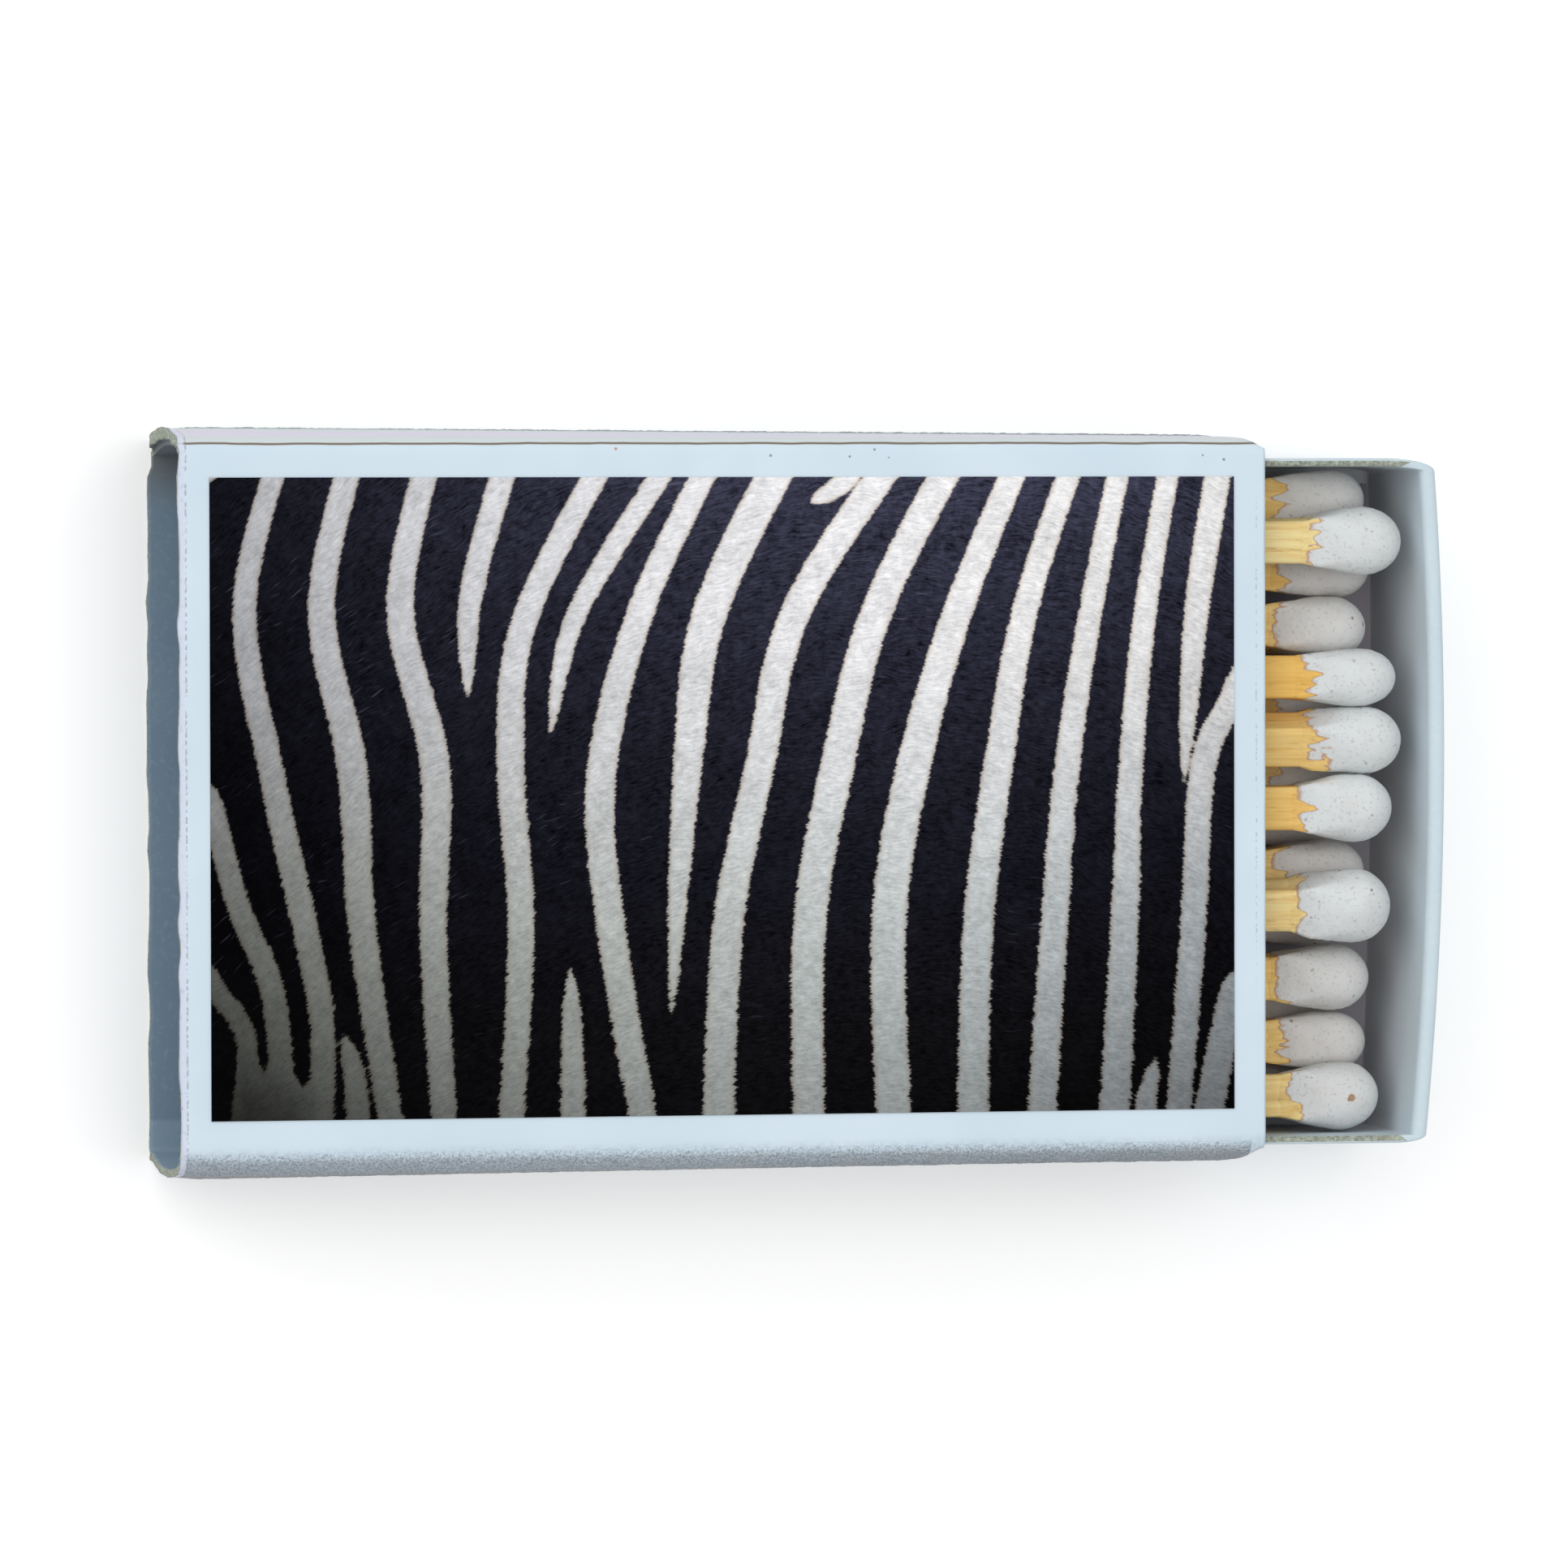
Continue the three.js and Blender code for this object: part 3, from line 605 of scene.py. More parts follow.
def section(inset):
    """Folded section, inset from the outside: four quarter arcs joined by straight panels."""
    top = sleeve_top
    w = half_width
    start = -math.pi / 2
    back = max(BACK_FOLD - inset, 0.1 * MM)
    upper = max(TOP_FOLD - inset, 0.1 * MM)
    worn = WORN_FOLD - inset
    parts = [
        arc((w - BACK_FOLD, BACK_FOLD), back, start, ARC_POINTS),
        straight((w - inset, BACK_FOLD), (w - inset, top - TOP_FOLD), WALL_POINTS),
        arc((w - TOP_FOLD, top - TOP_FOLD), upper, 0, ARC_POINTS),
        straight((w - TOP_FOLD, top - inset), (-w + WORN_FOLD, top - inset), FACE_POINTS),
        arc((-w + WORN_FOLD, top - WORN_FOLD), worn, math.pi / 2, ARC_POINTS),
        straight((-w + inset, top - WORN_FOLD), (-w + inset, BACK_FOLD), WALL_POINTS),
        arc((-w + BACK_FOLD, BACK_FOLD), back, math.pi, ARC_POINTS),
        straight((-w + BACK_FOLD, inset), (w - BACK_FOLD, inset), FACE_POINTS),
    ]
    return np.concatenate(parts)


def shape_side(x, y, z):
    """Sideways shape of the long sides: a half sine over the height, most at the empty end, less a
    crush inwards over the last millimetre at the tray's end that only the outer skin takes fully."""
    share = (x + half_length) / (2 * half_length)
    amount = BOW_AT_EMPTY_END + (BOW_AT_TRAY_END - BOW_AT_EMPTY_END) * share
    bow = amount * np.sin(np.pi * np.clip(z / sleeve_top, 0, 1))
    crushed = np.clip((x - half_length + CRUSH_LENGTH) / CRUSH_LENGTH, 0, 1) ** 2
    outer = np.clip((np.abs(y) - half_width + CARD) / CARD, 0, 1)
    return np.sign(y) * (bow - crushed * (CRUSH_INSIDE + (CRUSH - CRUSH_INSIDE) * outer))


def along(profile, stations):
    """A section carried along X: one row of points for each station, shaped at its sides."""
    x = np.repeat(stations[:, None], len(profile), axis=1)
    y = np.repeat(profile[None, :, 0], len(stations), axis=0)
    z = np.repeat(profile[None, :, 1], len(stations), axis=0)
    return np.stack([x, y + shape_side(x, y, z), z], axis=-1)


def make_sleeve():
    """Outer and inner skins of the folded card, joined at both cut ends by fibrous rings. The empty
    end runs out further at the back than at the face, with a notch in its upper corner."""
    ends = np.linspace(0, END_ROWS_LENGTH, END_ROWS)
    middle = np.linspace(-half_length + 2 * MM, half_length - 2 * MM, MIDDLE_ROWS)
    stations = np.concatenate([-half_length + ends, middle, half_length - ends[::-1]])
    outer = along(section(0), stations)
    inner = along(section(CARD), stations)
    rows, columns = outer.shape[:2]
    y, z = outer[0, :, 1], outer[0, :, 2]
    notched = np.clip((y - NOTCH_Y) / (0.2 * MM), 0, 1) * np.clip((NOTCH_Z - z) / (0.3 * MM), 0, 1)
    reach = EMPTY_END_MARGIN - EMPTY_END_RAKE * z / sleeve_top - NOTCH_DEPTH * notched
    reach = reach - END_FIBRES * (1 + loop_noise(columns, 90, 12))
    fade = np.clip(1 - ends / ends[ROUGH_ROWS], 0, 1)[:, None]
    upper = np.clip((y - 16.5 * MM) / (0.5 * MM), 0, 1)
    for skin in (outer, inner):
        skin[:END_ROWS, :, 0] -= fade * reach
    torn = END_FLARE * upper * (0.6 + 0.4 * loop_noise(columns, 110, 14))
    outer[:END_ROWS, :, 1] += fade ** 2 * torn
    inner[:END_ROWS, :, 1] -= fade * 0.1 * MM * upper * (1 + loop_noise(columns, 140, 15))
    face = np.clip((z - 11.5 * MM) / (0.4 * MM), 0, 1)
    outer[:END_ROWS, :, 2] -= fade ** 2 * face * END_SAG
    rings = []
    for row, sign, seed in ((0, -1, 41), (rows - 1, 1, 51)):
        for share in (0.3, 0.7):
            ring = outer[row] * (1 - share) + inner[row] * share
            fibres = loop_noise(columns, 150, seed + int(10 * share))
            ring[:, 0] += sign * (EDGE_FIBRES * fibres - 0.01 * MM)
            rings.append(ring)
    points = np.concatenate([outer.reshape(-1, 3), inner.reshape(-1, 3), np.concatenate(rings)])
    skin_faces = grid_faces(rows, columns, closed=True)
    count = rows * columns
    j = np.arange(columns)
    k = (j + 1) % columns
    last_row = count - columns
    bands = []
    for first, ring_start in ((0, 2 * count), (last_row, 2 * count + 2 * columns)):
        loops = [first, ring_start, ring_start + columns, first + count]
        for a, b in zip(loops[:-1], loops[1:]):
            bands.append(np.stack([j + a, k + a, k + b, j + b], axis=-1))
    faces = np.concatenate([skin_faces, skin_faces + count] + bands)
    piece = mesh_object("card_sleeve", points, faces.tolist())
    kinds = np.repeat([0, 1, 2], [len(skin_faces), len(skin_faces), 6 * columns]).astype(np.int32)
    finish(piece, [OUTSIDE, INSIDE, EDGE], kinds, "sleeve", ["sleeve"])


def make_lap():
    """Glued lap inside the upper long side: a second card, stopping short of the face."""
    stations = np.linspace(-half_length + 0.1 * MM, half_length - 0.1 * MM, 60)
    level = np.linspace(CARD, sleeve_top - LAP_STOP, WALL_POINTS)
    y = np.repeat([half_width - CARD, half_width - 2 * CARD], WALL_POINTS)
    profile = np.stack([y, np.concatenate([level, level[::-1]])], axis=-1)
    points = along(profile, stations)
    rows, columns = points.shape[:2]
    faces = grid_faces(rows, columns, closed=True).tolist()
    half = columns // 2
    for row, flip in ((0, False), (rows - 1, True)):
        for j in range(half - 1):
            quad = [row * columns + n for n in (j, j + 1, columns - 2 - j, columns - 1 - j)]
            faces.append(quad if flip else quad[::-1])
    piece = mesh_object("glued_lap", points.reshape(-1, 3), faces, smooth=False)
    finish(piece, [INSIDE], None, "sleeve", [])


def make_striker(side, name, node, fold, steps, seed):
    """Striking coat over one long side, and over its fold where it has one: a grid lifted off the
    card by grains of two sizes, thinning out at its borders, with a second grid on the card."""
    low, high = node_size(node)
    over = np.zeros((0, 2))
    wall_top = high[2]
    if fold:
        reach = np.linspace(0, 0.4 * math.pi, OVER_FOLD_POINTS + 1)[1:]
        over = np.stack([np.cos(reach), np.sin(reach)], axis=-1)
        wall_top = sleeve_top - fold
    wall = np.linspace([side * half_width, low[2]], [side * half_width, wall_top], steps)
    centre = np.array([side * (half_width - fold), wall_top])
    seat = np.concatenate([wall, centre + fold * over * [side, 1]])
    outward = np.concatenate([np.tile([side, 0.0], (steps, 1)), over * [side, 1]])
    stations = np.linspace(low[0], high[0], COAT_POINTS)
    grid = (len(stations), len(seat))
    grains = 0.03 * MM * smooth_noise(grid, (470, grid[1]), seed)
    grains += 0.02 * MM * smooth_noise(grid, (130, 24), seed + 1)
    to_side = np.minimum(np.arange(grid[1]), np.arange(grid[1])[::-1])
    to_end = np.minimum(np.arange(grid[0]), np.arange(grid[0])[::-1])
    fade = np.clip(to_side[None, :] / 5, 0, 1) * np.clip(to_end[:, None] / 10, 0, 1)
    under = along(seat, stations)
    lift = (STRIKER_LIFT * 0.6 + grains) * fade + 0.01 * MM
    top = under.copy()
    top[..., 1:] += lift[..., None] * outward
    points = np.concatenate([top.reshape(-1, 3), under.reshape(-1, 3)])
    count = grid[0] * grid[1]
    skin = grid_faces(*grid)
    faces = np.concatenate([skin, skin[:, ::-1] + count, rim_faces(*grid, count)])
    piece = mesh_object(name, points, faces.tolist())
    finish(piece, [STRIKER], None, "sleeve", [node])


# Print

# Ends of the stripes above and below the panel, in percent of its height
ABOVE = 105
BELOW = -5
# Each light stripe: its widths at the start, middle and end of its run in percent of the panel's
# width, whether it comes to a point, and its centre line in percent across the panel and up it.
STRIPES = [
    ((2.0, 2.0, 2.0), False, [(-3.2, ABOVE), (-2.2, 33), (-0.1, 22), (2.5, 16), (3.5, 10), (2.3, BELOW)]),
    ((2.2, 2.2, 2.4), False, [(-2.4, ABOVE), (-1.6, 57), (0.1, 49), (2.7, 33), (6.0, 19), (7.2, BELOW)]),
    ((2.1, 2.5, 2.3), False, [(7.0, ABOVE), (3.3, 80), (6.0, 53), (8.9, 31), (10.7, 14), (10.3, BELOW)]),
    ((2.3, 2.9, 2.4), False, [(14.0, ABOVE), (10.7, 80), (13.6, 55), (14.6, 29), (17.7, BELOW)]),
    ((2.4, 2.9, 2.4), False, [(21.4, ABOVE), (18.3, 80), (21.6, 55), (21.4, 29), (22.6, BELOW)]),
    ((2.3, 2.7, 2.4), False, [(38.8, ABOVE), (30.4, 78), (28.9, 57), (29.9, 29), (28.7, BELOW)]),
    ((2.3, 2.9, 2.7), False, [(49.2, ABOVE), (41.6, 79), (37.7, 53), (38.7, 29), (42.2, BELOW)]),
    ((2.9, 2.9, 3.1), False, [(67.2, ABOVE), (56.8, 79), (53.1, 54), (50.0, 29), (49.0, BELOW)]),
    ((2.8, 3.3, 3.1), False, [(72.9, ABOVE), (64.7, 79), (60.7, 54), (58.0, 29), (58.0, BELOW)]),
    ((2.4, 3.4, 3.4), False, [(79.3, ABOVE), (72.7, 79), (68.2, 54), (65.8, 29), (66.4, BELOW)]),
    ((2.2, 2.9, 3.1), False, [(84.6, ABOVE), (79.3, 79), (76.6, 54), (74.6, 29), (74.0, BELOW)]),
    ((2.1, 2.5, 2.9), False, [(89.1, ABOVE), (85.8, 79), (83.4, 54), (82.1, 29), (80.7, BELOW)]),
    ((2.1, 2.4, 3.1), False, [(94.0, ABOVE), (91.2, 79), (89.7, 54), (89.1, 29), (87.9, BELOW)]),
    ((2.4, 2.6, 2.5), False, [
        (103.6, ABOVE), (102.4, 76), (99.8, 65), (96.9, 54), (95.9, 29), (94.2, BELOW),
    ]),
    ((2.4, 2.4, 3.1), False, [(105.9, ABOVE), (102.4, 28), (99.8, 18), (96.9, BELOW)]),
    ((2.4, 2.4, 2.4), True, [(29.1, ABOVE), (25.2, 82), (24.8, 66)]),
    ((2.1, 2.1, 2.1), True, [(45.5, ABOVE), (35.5, 79), (32.8, 60)]),
    ((3.4, 3.4, 3.4), True, [(56.2, ABOVE), (48.4, 79), (46.1, 54), (44.5, 16)]),
    ((2.2, 2.2, 2.2), True, [(64.1, ABOVE), (61.3, 99), (58.2, 96)]),
    ((2.6, 2.6, 2.6), True, [(98.9, ABOVE), (96.3, 79), (95, 52)]),
    ((2.4, 2.4, 2.4), True, [(34.9, BELOW), (34.9, 9), (34.7, 23)]),
    ((2.3, 2.3, 2.3), True, [(14.2, BELOW), (13.8, 6), (12.8, 13)]),
    ((2.2, 2.2, 2.2), True, [(91.0, BELOW), (91.2, 1), (92.2, 8)]),
    ((2.4, 2.4, 2.4), True, [(3.2, ABOVE), (-0.44, 101), (-4.1, 97)]),
]
LINE_STEPS = 48
# Shades of the inks over the panel, as the numbers that shade multiplies its terms by
LIGHT_INK = (187, 152, -105, -69, -83, 230, -202)
DARK_INK = (26, 143, -103, -46, 19, -98, 60)
PANEL_COLUMNS = 390
PANEL_ROWS = 240
BELLY_REACH = 1.1


def spline(points, count):
    """Smooth curve through points by cubic pieces, the slope at each point being half the step
    between its neighbours. Also gives the share of the run that each place on the curve has."""
    p = np.array(points, dtype=float)
    padded = np.concatenate([p[:1], p, p[-1:]])
    t = np.linspace(0, len(p) - 1, count)
    i = np.minimum(t.astype(int), len(p) - 2)
    f = (t - i)[:, None]
    a, b, c, d = padded[i], padded[i + 1], padded[i + 2], padded[i + 3]
    square, cube = 2 * a - 5 * b + 4 * c - d, 3 * b - a - 3 * c + d
    curve = 0.5 * (2 * b + (c - a) * f + square * f ** 2 + cube * f ** 3)
    return curve, np.linspace(0, 1, count)


def stripe_gap(x, y, panel_low, panel_size):
    """Distance in millimetres from each point to the nearest stripe's edge, negative inside: the
    least distance to any short piece of a centre line, less half the stripe's width there."""
    nearest = np.full(x.shape, np.inf)
    for widths, pointed, line in STRIPES:
        curve, share = spline(line, LINE_STEPS)
        centre = (panel_low + curve / 100 * panel_size) / MM
        reach = np.interp(share, [0, 0.5, 1], widths) / 200 * panel_size[0] / MM
        if pointed:
            reach = reach * (1 - 0.95 * share ** 4)
        for n in range(LINE_STEPS - 1):
            a = centre[n]
            step = centre[n + 1] - a
            t = np.clip(((x - a[0]) * step[0] + (y - a[1]) * step[1]) / (step @ step), 0, 1)
            away = np.hypot(x - a[0] - t * step[0], y - a[1] - t * step[1])
            nearest = np.minimum(nearest, away - reach[n] - t * (reach[n + 1] - reach[n]))
    return nearest


def shade(weights, u, v):
    """Ink shade over the panel, a sum of 1, u, u squared, v, v squared, u v and u squared v, each
    times its own number, as a display value from 0 to 255 and then made linear."""
    terms = np.stack([np.ones_like(u), u, u ** 2, v, v ** 2, u * v, u ** 2 * v])
    value = np.clip(np.tensordot(weights, terms, 1), 4, 250) / 255
    return ((value + 0.055) / 1.055) ** 2.4


def make_print():
    """Printed panel: a flat grid just over the face, carrying the distance to the stripes. Low on
    the left, the dark between the first stripes runs out to a point into an olive belly."""
    low, high = node_size("print_panel")
    x = np.linspace(low[0], high[0], PANEL_COLUMNS)
    y = np.linspace(low[1], high[1], PANEL_ROWS)
    gx, gy = np.meshgrid(x, y)
    ink_top = node_size("ink_field_04")[1][2]
    top = np.stack([gx, gy, np.full_like(gx, ink_top)], axis=-1).reshape(-1, 3)
    under = top - [0, 0, ink_top - low[2]]
    border = rim_faces(PANEL_ROWS, PANEL_COLUMNS, len(top))
    rim = np.unique(border[border >= len(top)])
    order = np.zeros(2 * len(top), dtype=int)
    order[:len(top)] = np.arange(len(top))
    order[rim] = len(top) + np.arange(len(rim))
    faces = grid_faces(PANEL_ROWS, PANEL_COLUMNS).tolist() + order[border].tolist()
    faces.append(order[border[:, 1]].tolist())
    points = np.concatenate([top, under[rim - len(top)]])
    piece = mesh_object("printed_stripes", points, faces, smooth=False)
    size = high[:2] - low[:2]
    u = (gx.ravel() - low[0]) / size[0]
    v = 1 - (gy.ravel() - low[1]) / size[1]
    belly = rise(u, 0.022, 0.035) * (1 - rise(u, 0.085, 0.115)) * rise(v, 0.86 + 0.7 * u, 0.98 + 0.1 * u)
    gap = stripe_gap(gx.ravel() / MM, gy.ravel() / MM, low[:2], size)
    values = {
        "gap": gap - BELLY_REACH * belly,
        "light_shade": shade(LIGHT_INK, u, v) * (1 - 0.35 * belly),
        "dark_shade": shade(DARK_INK, u, v),
        "depth": v ** 1.4,
        "across": u,
        "lean": 0.5 - 0.6 * u,
    }
    for name, value in values.items():
        add_values(piece, name, np.concatenate([value, np.zeros(len(rim))]))
    nodes = ["print_panel"] + [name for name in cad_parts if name.startswith("ink_field_")]
    finish(piece, [PRINT], None, "sleeve", nodes)


# Tray

tray_centre_y = (tray_low[1] + tray_high[1]) / 2
tray_height = tray_high[2] - tray_low[2]
tray_half_width = (tray_high[1] - tray_low[1]) / 2
well_half_length = TRAY_HALF_LENGTH - 2 * CARD
well_half_width = tray_half_width - CARD


def plan(half_x, half_y, inset):
    """Rounded rectangle in plan with elliptical corners, with points spread along every side."""
    count = TRAY_SIDE_POINTS
    ux, uy = np.array(UPPER_CORNER) - inset * 0.9
    lx, ly = np.array(LOWER_CORNER) - inset * 0.9
    parts = [
        arc((half_x - ux, half_y - uy), (ux, uy), 0, CORNER_POINTS),
        straight((half_x - ux, half_y), (-half_x + ux, half_y), count),
        arc((-half_x + ux, half_y - uy), (ux, uy), math.pi / 2, CORNER_POINTS),
        straight((-half_x, half_y - uy), (-half_x, -half_y + ly), count),
        arc((-half_x + lx, -half_y + ly), (lx, ly), math.pi, CORNER_POINTS),
        straight((-half_x + lx, -half_y), (half_x - lx, -half_y), count),
        arc((half_x - lx, -half_y + ly), (lx, ly), 1.5 * math.pi, CORNER_POINTS),
        straight((half_x, -half_y + ly), (half_x, half_y - uy), count),
    ]
    return np.concatenate(parts)


def shift_ends(x, y, z):
    """Shift along X: a parabola across that bows both ends, more towards the rim, a lean outwards
    and a rack that sets the whole plan askew."""
    up = np.clip(z / tray_height, 0, 1)
    across = y / tray_half_width
    push = END_BOW * (1 - across ** 2) * (BOW_AT_FLOOR + (1 - BOW_AT_FLOOR) * up) + END_LEAN * up
    return push * (x / TRAY_HALF_LENGTH) + RACK * across


def make_tray():
    """Tray wall profile carried round the plan: under the floor, up the outside, over the rim,
    down the inside and across the floor. The ends round over at the rim, the sides are cut."""
    fold = TRAY_FLOOR_FOLD
    angle = np.linspace(0, math.pi / 2, ARC_POINTS)
    outside = [(0.0, inset, 0.0) for inset in (12 * MM, 6 * MM)]
    outside += [(0.0, fold * (1 - math.sin(a)), fold * (1 - math.cos(a))) for a in angle]
    below_rim = tray_height - CARD
    outside += [(0.0, 0.0, z) for z in np.linspace(fold, below_rim, TRAY_WALL_ROWS)[1:]]
    rim = [(0.0, RIM_DRAW * (1 - math.cos(a)), below_rim + CARD * math.sin(a)) for a in angle[1:]]
    rim_in = [(1.0, draw, z) for _, draw, z in reversed(rim)]
    inside = [(1.0, 0.0, z) for z in np.linspace(below_rim, CARD, TRAY_WALL_ROWS)]
    inside += [(1.0, inset, CARD) for inset in (0.2 * MM, 3 * MM, 8 * MM, 12 * MM)]
    outer_plan = plan(TRAY_HALF_LENGTH, tray_half_width, 0)
    inner_plan = plan(well_half_length, well_half_width, CARD)
    columns = len(outer_plan)
    to_end = TRAY_HALF_LENGTH - np.abs(outer_plan[:, 0])
    on_side = to_end > CUT_STARTS
    cut_share = rise(to_end, 0, 1.4 * CUT_STARTS)
    burr = 0.05 * MM * (1 + loop_noise(columns, 120, 61)) * cut_share
    rows = []
    shades = []
    for inner, inset, z in outside + rim + rim_in + inside:
        base = inner_plan if inner else outer_plan
        half_x = well_half_length if inner else TRAY_HALF_LENGTH
        half_y = well_half_width if inner else tray_half_width
        at_rim = z > below_rim and inset > 0
        draw = (1 - cut_share) * (-inset if inner else inset) if at_rim else inset
        x = base[:, 0] * (1 - draw / half_x)
        tuck = cut_share * (0 if inner else SIDE_RIM_DRAW * inset / RIM_DRAW) if at_rim else inset
        y = base[:, 1] * (1 - tuck / half_y)
        level = z - burr * (z > tray_height - 0.3 * CARD)
        rows.append(np.stack([x + shift_ends(x, y, z), y, level], axis=-1))
        # low is painted shade: 0 outside and at the rim, growing down the inner walls to 1 at the floor
        shades.append(np.full(columns, inner * (1 - np.clip(z / tray_height, 0, 1) ** 2)))
    shell = np.stack(rows) + [TRAY_OFFSET, tray_centre_y, tray_low[2]]
    count = len(rows)
    faces = grid_faces(count, columns, closed=True).tolist()
    faces.append(list(range(columns))[::-1])
    faces.append([(count - 1) * columns + j for j in range(columns)])
    piece = mesh_object("card_tray", shell.reshape(-1, 3), faces)
    kinds = np.zeros(len(faces), dtype=np.int32)
    row_of = np.repeat(np.arange(count - 1)[:, None], columns, axis=1)
    at_edge = row_of == len(outside) + len(rim) - 1
    kinds[:-2][(on_side & at_edge).ravel()] = 1
    add_values(piece, "low", np.concatenate(shades))
    finish(piece, [TRAY, EDGE], kinds, "tray", ["tray"])


def make_foot_flap(end, name):
    """The inner layer of an end wall, turned in onto the floor: a thin slab with a soft edge."""
    rows, columns = 50, 30
    across, inwards = np.meshgrid(np.linspace(-1, 1, rows), np.linspace(0, 1, columns), indexing="ij")
    soft = np.clip(inwards * 12, 0, 1) * (np.abs(across) < 0.999)
    y = across * (well_half_width - FOOT_SIDE_GAP)
    z = CARD * (1 + 0.95 * soft)
    worn = 0.06 * MM * smooth_noise((rows, columns), (40, 1), 70 + end)[:, :1] * (1 - inwards)
    x = end * (well_half_length - FOOT_FLAP + inwards * (FOOT_FLAP + CARD * 0.3) + worn)
    top = np.stack([x + shift_ends(x, y, z), y, z], axis=-1).reshape(-1, 3)
    top += [TRAY_OFFSET, tray_centre_y, tray_low[2]]
    under = top.copy()
    under[:, 2] = tray_low[2] + CARD * 0.6
    skin = grid_faces(rows, columns)
    faces = np.concatenate([skin, skin[:, ::-1] + len(top), rim_faces(rows, columns, len(top))])
    piece = mesh_object(name, np.concatenate([top, under]), faces.tolist(), smooth=False)
    # A low of 2 gives the flaps the darkest painted shade of the well
    add_values(piece, "low", np.full(2 * len(top), 2.0))
    finish(piece, [TRAY], None, "tray", [])


# Matches


def stick_frame(tag):
    """Place and axes of a stick from its solid: head end, length, and three unit vectors."""
    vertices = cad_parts[f"match_stick_{tag}"].data.vertices
    places = np.empty(len(vertices) * 3)
    vertices.foreach_get("co", places)
    corners = np.unique(np.round(places.reshape(-1, 3), 6), axis=0)
    order = np.argsort(corners[:, 0])
    butt, neck = corners[order[:4]].mean(axis=0), corners[order[-4:]].mean(axis=0)
    forward = neck - butt
    length = np.linalg.norm(forward)
    forward /= length
    spokes = corners[order[-4:]] - neck
    spoke = spokes[np.argmax(spokes[:, 1] + spokes[:, 2] * 0.5)]
    up = np.cross(forward, spoke)
    side = spoke + up
    side -= forward * (side @ forward)
    side /= np.linalg.norm(side)
    if abs(side[1]) < abs(side[2]):
        side = np.cross(side, forward)
    if side[1] < 0:
        side = -side
    up = np.cross(forward, side)
    return neck, length, forward, side, up


def square_round(angle, roundness):
    """Radius factor of a section that goes from a square to a circle."""
    square = 1 / np.maximum(np.abs(np.cos(angle)), np.abs(np.sin(angle)))
    return square + (1 - square) * roundness


def to_world(local, neck, forward, side, up):
    """Points given along a stick's own axes, from its neck."""
    return neck + local[..., :1] * forward + local[..., 1:2] * side + local[..., 2:3] * up


def stick_tint(number):
    """How pale the wood of a stick is, from 0 to 1."""
    return PALENESS[(number - 1) % len(PALENESS)]


def make_stick(tag, number):
    """Square stick, split rather than sawn: a rounded square section carried along X, with long
    shallow ridges from noise and a slightly uneven butt."""
    neck, length, forward, side, up = stick_frame(tag)
    around, steps = 56, 70
    angle = np.linspace(0, 2 * math.pi, around, endpoint=False) + math.pi / around
    share = np.linspace(0, 1, steps)
    radius = STICK / 2 * np.minimum(square_round(angle, 0), 1.36)
    ridges = np.stack([loop_noise(around, 26, 100 + number * 5 + n) for n in range(4)])
    mixed = between_rings(ridges, np.linspace(0, 2.999, steps))
    reach = radius[None, :] * 0.985 + mixed * 0.035 * MM - 0.03 * MM
    x = -length * share[:, None] + np.zeros((1, around))
    grid = np.stack([x, reach * np.cos(angle), reach * np.sin(angle)], axis=-1)
    grid[-1, :, 0] += 0.12 * MM * (0.5 + 0.5 * np.sin(angle + number))
    points = to_world(grid, neck, forward, side, up)
    faces = grid_faces(steps, around, closed=True).tolist()
    faces.append(list(range(around))[::-1])
    faces.append([(steps - 1) * around + j for j in range(around)])
    piece = mesh_object(f"splint_{tag}", points.reshape(-1, 3), faces)
    add_values(piece, "tint", np.full(points.size // 3, stick_tint(number)))
    finish(piece, [WOOD], None, "tray", [f"match_stick_{tag}"])


def taper(share):
    """No dents at either end of a head."""
    return np.sin(np.clip(share, 0, 1) * math.pi)[:, None] ** 0.5


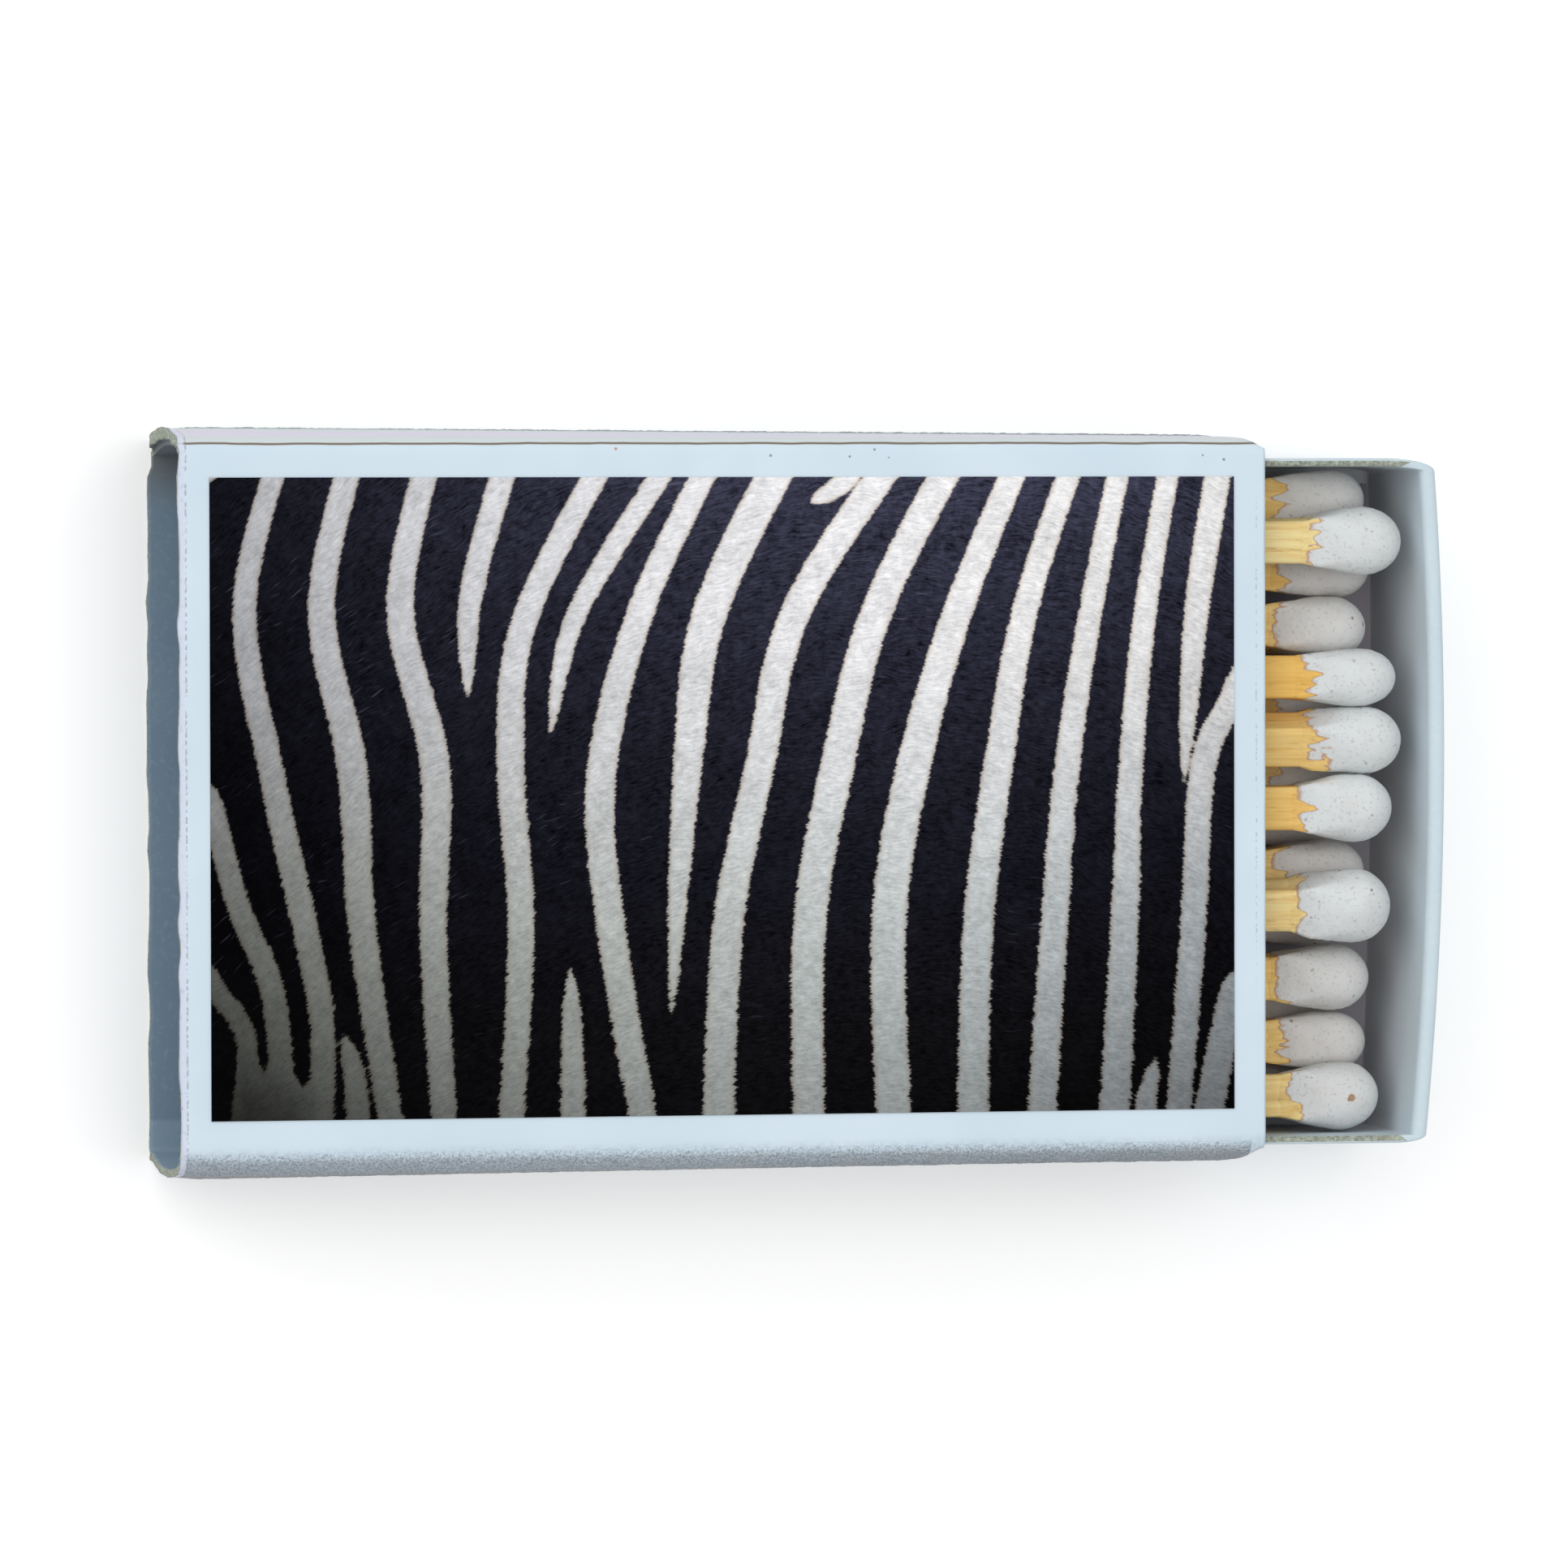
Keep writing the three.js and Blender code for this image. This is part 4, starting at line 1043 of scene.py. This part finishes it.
def make_head(tag, number):
    """Dipped head: its radius swells from the square neck by a quarter sine to BULGE_AT of its
    length, then closes by a quarter circle. Seeded noise dents it. A skirt runs back over the
    stick, so that the coat's border can be drawn by the material."""
    neck, _, forward, side, up = stick_frame(tag)
    low, high = node_size(f"match_head_{tag}")
    radius = (high[1] - low[1]) / 2
    half = STICK / 2
    around = 80
    angle = np.linspace(0, 2 * math.pi, around, endpoint=False)
    swell = np.linspace(0, 1, 36)
    close = np.linspace(0, math.pi / 2, 30)[1:]
    share = np.concatenate([BULGE_AT * swell, BULGE_AT + (1 - BULGE_AT) * np.sin(close)])
    swelling = half + (radius - half) * np.sin(math.pi / 2 * swell)
    reach = np.concatenate([swelling, radius * np.cos(close)])
    most_round = 0.88 if number in SQUARER_HEADS else 0.97
    roundness = np.clip(share / BULGE_AT, 0, 1)
    roundness = (roundness ** 2 * (3 - 2 * roundness) * most_round)[:, None]
    size = np.minimum(reach[:, None] * square_round(angle[None, :], roundness), radius * 1.01)
    dents = np.stack([loop_noise(around, 7, 300 + number * 9 + n) for n in range(6)])
    small = np.stack([loop_noise(around, 30, 600 + number * 29 + n) for n in range(26)])
    for knots, amount in ((dents, 0.06), (small, 0.02)):
        noise = between_rings(knots, share * (len(knots) - 1.001))
        size = size + amount * MM * noise * taper(share)
    size -= 0.03 * MM * taper(share)
    size[-1] = 0
    x = np.repeat(share[:, None] * HEAD_LENGTH, around, axis=1)
    grid = np.stack([x, size * np.cos(angle), size * np.sin(angle)], axis=-1)
    skirt_size = half * np.minimum(square_round(angle, 0), 1.38) * 1.01
    rings = []
    for back, scale in ((1, 0.84), (0.7, 0.92), (0.35, 0.975)):
        ring = skirt_size * scale
        x = np.full(around, -SKIRT * back)
        rings.append(np.stack([x, ring * np.cos(angle), ring * np.sin(angle)], axis=-1))
    grid = np.concatenate([np.stack(rings), grid])
    points = to_world(grid, neck, forward, side, up)
    rows = len(grid)
    faces = grid_faces(rows, around, closed=True).tolist()
    faces.append(list(range(around))[::-1])
    piece = mesh_object(f"dipped_head_{tag}", points.reshape(-1, 3), faces)
    height = (neck[2] - tray_low[2]) / tray_height
    count = rows * around
    # height: how high the head lies in the tray, for its painted shade
    add_values(piece, "height", np.full(count, np.clip(height * 1.6 - 0.5, 0, 1)))
    add_values(piece, "along", grid[..., 0].ravel() / MM)
    add_values(piece, "tint", np.full(count, stick_tint(number)))
    finish(piece, [HEAD], None, "tray", [f"match_head_{tag}"])


# Stage, light and camera

FLOOR_REACH = 3.0
FLOOR_GLOW = (0.2, 0.2, 0.2, 1)
WORLD_LEVEL = 0.44
# Each soft light: name, place, side and power, all facing the origin
LIGHTS = [
    ("key_light", (-0.36, 0.27, 0.48), 0.8, 2.0),
    ("front_light", (0.1, 0.03, 0.6), 0.4, 1.1),
]


def make_stage():
    """A plain white floor under the box, which glows a little where the camera, a shiny surface or
    a clear one sees it, so that the background is white while the shadow stays."""
    corners = [(-1, -1, 0), (1, -1, 0), (1, 1, 0), (-1, 1, 0)]
    floor = mesh_object("floor", FLOOR_REACH * np.array(corners), [[0, 1, 2, 3]], smooth=False)
    tree = Tree("pale_floor")
    rays = ("Is Camera Ray", "Is Glossy Ray", "Is Transmission Ray")
    camera, glossy, clear = (tree.add("ShaderNodeLightPath", output=ray) for ray in rays)
    glow = tree.mix(camera + glossy + clear, (0, 0, 0, 1), FLOOR_GLOW)
    tree.set(Base_Color=(1, 1, 1, 1), Roughness=0.9, Specular_IOR_Level=0.1)
    tree.set(Emission_Color=glow, Emission_Strength=1)
    floor.data.materials.append(tree.material)


def add_light(name, place, size, power):
    """A square soft light, facing the origin."""
    data = bpy.data.lights.new(name, "AREA")
    data.shape = "SQUARE"
    data.size = size
    data.energy = power
    lamp = bpy.data.objects.new(name, data)
    lamp.location = place
    x, y, z = place
    lamp.rotation_euler = Euler((math.atan2(math.hypot(x, y), z), 0, math.atan2(x, -y)))
    bpy.context.scene.collection.objects.link(lamp)


def light_scene():
    """White light from all round, and the soft lights."""
    world = bpy.data.worlds.new("studio")
    bpy.context.scene.world = world
    world.use_nodes = True
    background = world.node_tree.nodes["Background"]
    background.inputs["Color"].default_value = (1, 1, 1, 1)
    background.inputs["Strength"].default_value = WORLD_LEVEL
    for light in LIGHTS:
        add_light(*light)


def make_camera():
    """The camera, nearly straight above the print."""
    data = bpy.data.cameras.new("camera")
    data.sensor_width = SENSOR
    data.sensor_fit = "HORIZONTAL"
    data.lens = FOCAL_PIXELS * SENSOR / PICTURE
    data.clip_start = 0.01
    camera = bpy.data.objects.new("camera", data)
    camera.location = CAMERA_PLACE
    camera.rotation_euler = Euler([math.radians(a) for a in CAMERA_TURN], "XYZ")
    bpy.context.scene.collection.objects.link(camera)
    bpy.context.scene.camera = camera


OUTSIDE, INSIDE, EDGE = card_outside(), card_inside(), card_edge()
TRAY, STRIKER, PRINT = tray_card(), striking_coat(), striped_print()
WOOD, HEAD = splint_wood(), match_head()

make_camera()
make_sleeve()
make_lap()
make_striker(-1, "striking_strip_lower", "striker_lower", WORN_FOLD, 80, 21)
make_striker(1, "striking_strip_upper", "striker_upper", 0, 34, 31)
make_print()
make_tray()
make_foot_flap(1, "foot_flap_open_end")
make_foot_flap(-1, "foot_flap_closed_end")
for index in range(1, MATCHES + 1):
    make_stick(f"{index:02d}", index)
    make_head(f"{index:02d}", index)
make_stage()
light_scene()
bpy.context.scene.view_settings.view_transform = "Standard"
